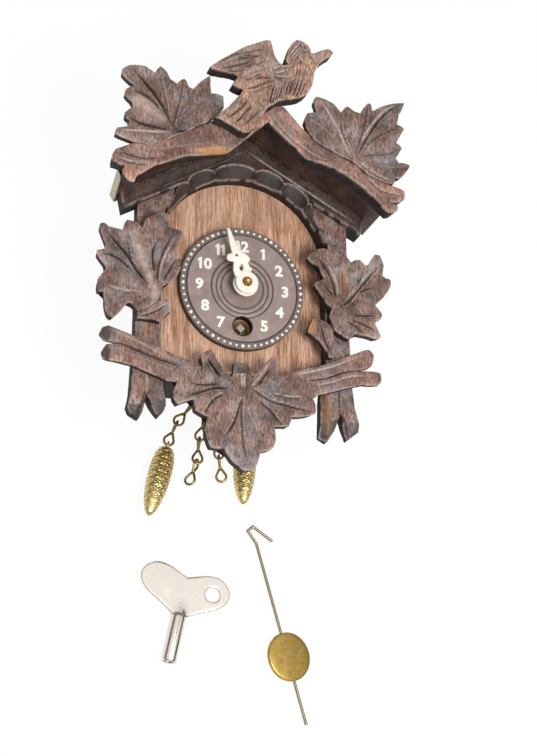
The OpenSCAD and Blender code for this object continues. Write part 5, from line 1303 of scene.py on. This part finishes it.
ring_line = [(CONE_RING * math.cos(t), 0, CONE_RING * math.sin(t)) for t in np.arange(32) * math.pi / 16]
scale_verts, scale_faces, cone_crevice_shade = cone_mesh()
cone_verts, cone_faces = merged([(scale_verts, scale_faces), tube(ring_line, CONE_WIRE, 10, True)])
cone_crevice_shade = np.pad(cone_crevice_shade, (0, len(cone_verts) - len(cone_crevice_shade)))
for name, body, at, turn, rise in (
    ("cone_left", "left_weight", (-16.52, -45.34, 2.86), -105.5, 8),
    ("cone_right", "right_weight", (10.90, -39.26, 2.49), -96, 11),
):
    add_piece(name + "_weight", moved(cone_verts, placed(at, turn, rise)), cone_faces, [gilt], body=body,
              slot="cone_brass", stands_for=[name], values={"dark": cone_crevice_shade}, sharp=70)

# Key
STEM_LEN = 15.1
STEM_R = 2.5
BOW_T = 1.2
BOW_LEN = 16.3
BOW_SIDE = [
    (2.3, -2.8), (2.3, -0.4), (2.6, 0.5, -0.05), (10.2, 4.8, 0.1), (14.3, 8, 0.15), (15.3, 11.5, 0.2),
    (13, 15, 0.2), (9, 16.3, 0.1), (4.5, 15.3),
]
key_tilt = math.atan((STEM_R - BOW_T / 2) / (STEM_LEN + BOW_LEN))
key_matrix = placed((-15.5, -116.7, STEM_R + 0.02), -13.4) @ Matrix.Rotation(-key_tilt, 4, "X")
bow_line = bowed(BOW_SIDE, 10)
bow_line = np.vstack([bow_line, [(0, 13.6)], (bow_line * (-1, 1))[::-1]]) + (0, STEM_LEN)


def bow_face(p):
    x, y = p[:, 0], p[:, 1] - STEM_LEN
    dome = 1.5 * bell(x, 1.7) * unit(1 - (y + 0.5) / 6.5) ** 1.3 * (y > -3)
    return 0.1 * np.hypot(x / 15, (y - 8) / 9) - dome


verts, faces, _, _ = relief(
    bow_line, -BOW_T / 2 + 0.02, BOW_T / 2 - 0.02, edge=0.4, slope=(1.2, 0.08), shape=bow_face, rough=0.012,
    holes=[circle(2.4, 48, 9.4, STEM_LEN + 10.2)], pillow=0)
add_piece("key_bow_plate", moved(verts, key_matrix), faces, [nickel], body="key", slot="key_nickel",
          stands_for=["key_bow"], sharp=50)


def stem_mesh():
    """The rolled stem along Y: a tube with an open seam on top and a rolled end."""
    profile = [(1.55, 0.9), (1.6, 0.15), (1.9, 0), (2.25, 0.06), (STEM_R, 0.4), (STEM_R, STEM_LEN - 0.6),
               (STEM_R - 0.15, STEM_LEN + 0.4), (STEM_R - 0.7, STEM_LEN + 1.1), (1.2, STEM_LEN + 1.3),
               (0, STEM_LEN + 1.3)]
    v, f = lathe([(0, 3.4), (1.5, 3.3)] + profile, 96)
    angle = np.arctan2(v[:, 1], v[:, 0])
    seam = bell(angle - math.pi / 2, 0.045) * (np.hypot(v[:, 0], v[:, 1]) > 2)
    v[:, :2] *= (1 - 0.16 * seam)[:, None]
    return np.column_stack([v[:, 0], v[:, 2], v[:, 1]]), f


verts, faces = stem_mesh()
add_piece("key_stem_tube", moved(verts, key_matrix), faces, [nickel], body="key", slot="key_nickel",
          stands_for=["key_stem"], sharp=35)

# Pendulum bob
BOB_R = 8.0
BOB_T = 1.8
BOB_TILT = 15
BOB_BEND = 0.3  # height over its middle at which the face begins to dome
tilt = math.radians(BOB_TILT)
bob_mid = BOB_R * math.sin(tilt) + BOB_T / 2 * math.cos(tilt) + 0.05
bob_matrix = placed((14.5, -76.6, 0), 15.5) @ placed((0, -38.6, bob_mid), 0, -BOB_TILT)
half_t = BOB_T / 2
bob_profile = [
    (0, -half_t + 0.25), (BOB_R - 0.9, -half_t + 0.2), (BOB_R - 0.3, -half_t),
    (BOB_R - 0.05, -half_t + 0.25), (BOB_R, 0), (BOB_R - 0.08, BOB_BEND),
]
bob_profile += [(r, BOB_BEND + (half_t - BOB_BEND) * math.sqrt(max(0, 1 - (r / BOB_R) ** 2)) ** 0.8)
                for r in (7.8, 7.5, 7, 6.2, 5.2, 4, 2.6, 1.2, 0)]
verts, faces = lathe(bob_profile, 120)
add_piece("bob_disc", moved(verts, bob_matrix), faces, [bob_brass], body="bob", slot="bob_brass",
          stands_for=["pendulum_bob"], sharp=60)

# Floor, light and camera
FLOOR_REACH = 3.0
FLOOR_Z = -0.0001
FLOOR_GLOW = 0.94
SKY = 0.6
ROOM = [(0.0, 0.03), (0.42, 0.12), (0.62, 0.9), (0.85, 1.0)]
WHITE = (1, 1, 1, 1)

floor_mesh = bpy.data.meshes.new("floor")
corners = [(x * FLOOR_REACH, y * FLOOR_REACH, 0) for x, y in ((-1, -1), (1, -1), (1, 1), (-1, 1))]
floor_mesh.from_pydata(corners, [], [(0, 1, 2, 3)])
floor = bpy.data.objects.new("floor", floor_mesh)
floor.location.z = FLOOR_Z
scene.collection.objects.link(floor)
white, tree, bsdf, _ = new_material("floor_white", Base_Color=(0.9, 0.9, 0.9, 1), Roughness=0.9)
rays = add(tree, "LightPath").outputs
seen = maths(tree, "MAXIMUM", rays["Is Camera Ray"], rays["Is Glossy Ray"])
glow = add(tree, "Emission", {"Color": WHITE, "Strength": 1.0})
both = add(tree, "MixShader", {0: times(tree, seen, FLOOR_GLOW), 1: bsdf.outputs[0], 2: glow.outputs[0]})
tree.links.new(both.outputs[0], tree.nodes["Material Output"].inputs["Surface"])
floor_mesh.materials.append(white)

# The world: even white for the camera, plain soft light, and a graded room in what is glossy
world = bpy.data.worlds.new("studio")
scene.world = world
world.use_nodes = True
tree = world.node_tree
rays = add(tree, "LightPath").outputs
seen = maths(tree, "MAXIMUM", rays["Is Camera Ray"], rays["Is Transmission Ray"])
back = tree.nodes["Background"]
back.inputs["Color"].default_value = WHITE
back.inputs["Strength"].default_value = SKY
bright = add(tree, "Background", {"Color": WHITE, "Strength": 1.0})
way = add(tree, "SeparateXYZ", {0: add(tree, "TexCoord").outputs["Generated"]})
room = add(tree, "Background", {"Strength": 1.0, "Color": ramp(tree, way.outputs["Z"], ROOM)})
first = add(tree, "MixShader", {0: rays["Is Glossy Ray"], 1: back.outputs[0], 2: room.outputs[0]})
both = add(tree, "MixShader", {0: seen, 1: first.outputs[0], 2: bright.outputs[0]})
tree.links.new(both.outputs[0], tree.nodes["World Output"].inputs["Surface"])

LAMP_AT = (0.15, -0.35, 0.8)
LAMP_TARGET = (0, 0, 0.03)
lamp = bpy.data.lights.new("key_light", "AREA")
lamp.size = 0.3
lamp.energy = 5.2
light = bpy.data.objects.new("key_light", lamp)
light.location = LAMP_AT
light.rotation_euler = (Vector(LAMP_AT) - Vector(LAMP_TARGET)).to_track_quat("Z", "Y").to_euler()
scene.collection.objects.link(light)

camera_data = bpy.data.cameras.new("camera")
camera_data.lens = 73.23
camera_data.sensor_width = 36
camera_data.clip_start = 0.01
camera = bpy.data.objects.new("camera", camera_data)
camera.matrix_world = Matrix((
    (0.95365, -0.08356, -0.28907, -0.13393),
    (-0.01226, 0.94908, -0.31479, -0.18522),
    (0.30066, 0.30375, 0.90407, 0.48134),
    (0, 0, 0, 1),
))
scene.collection.objects.link(camera)
scene.camera = camera
scene.view_settings.view_transform = "Standard"
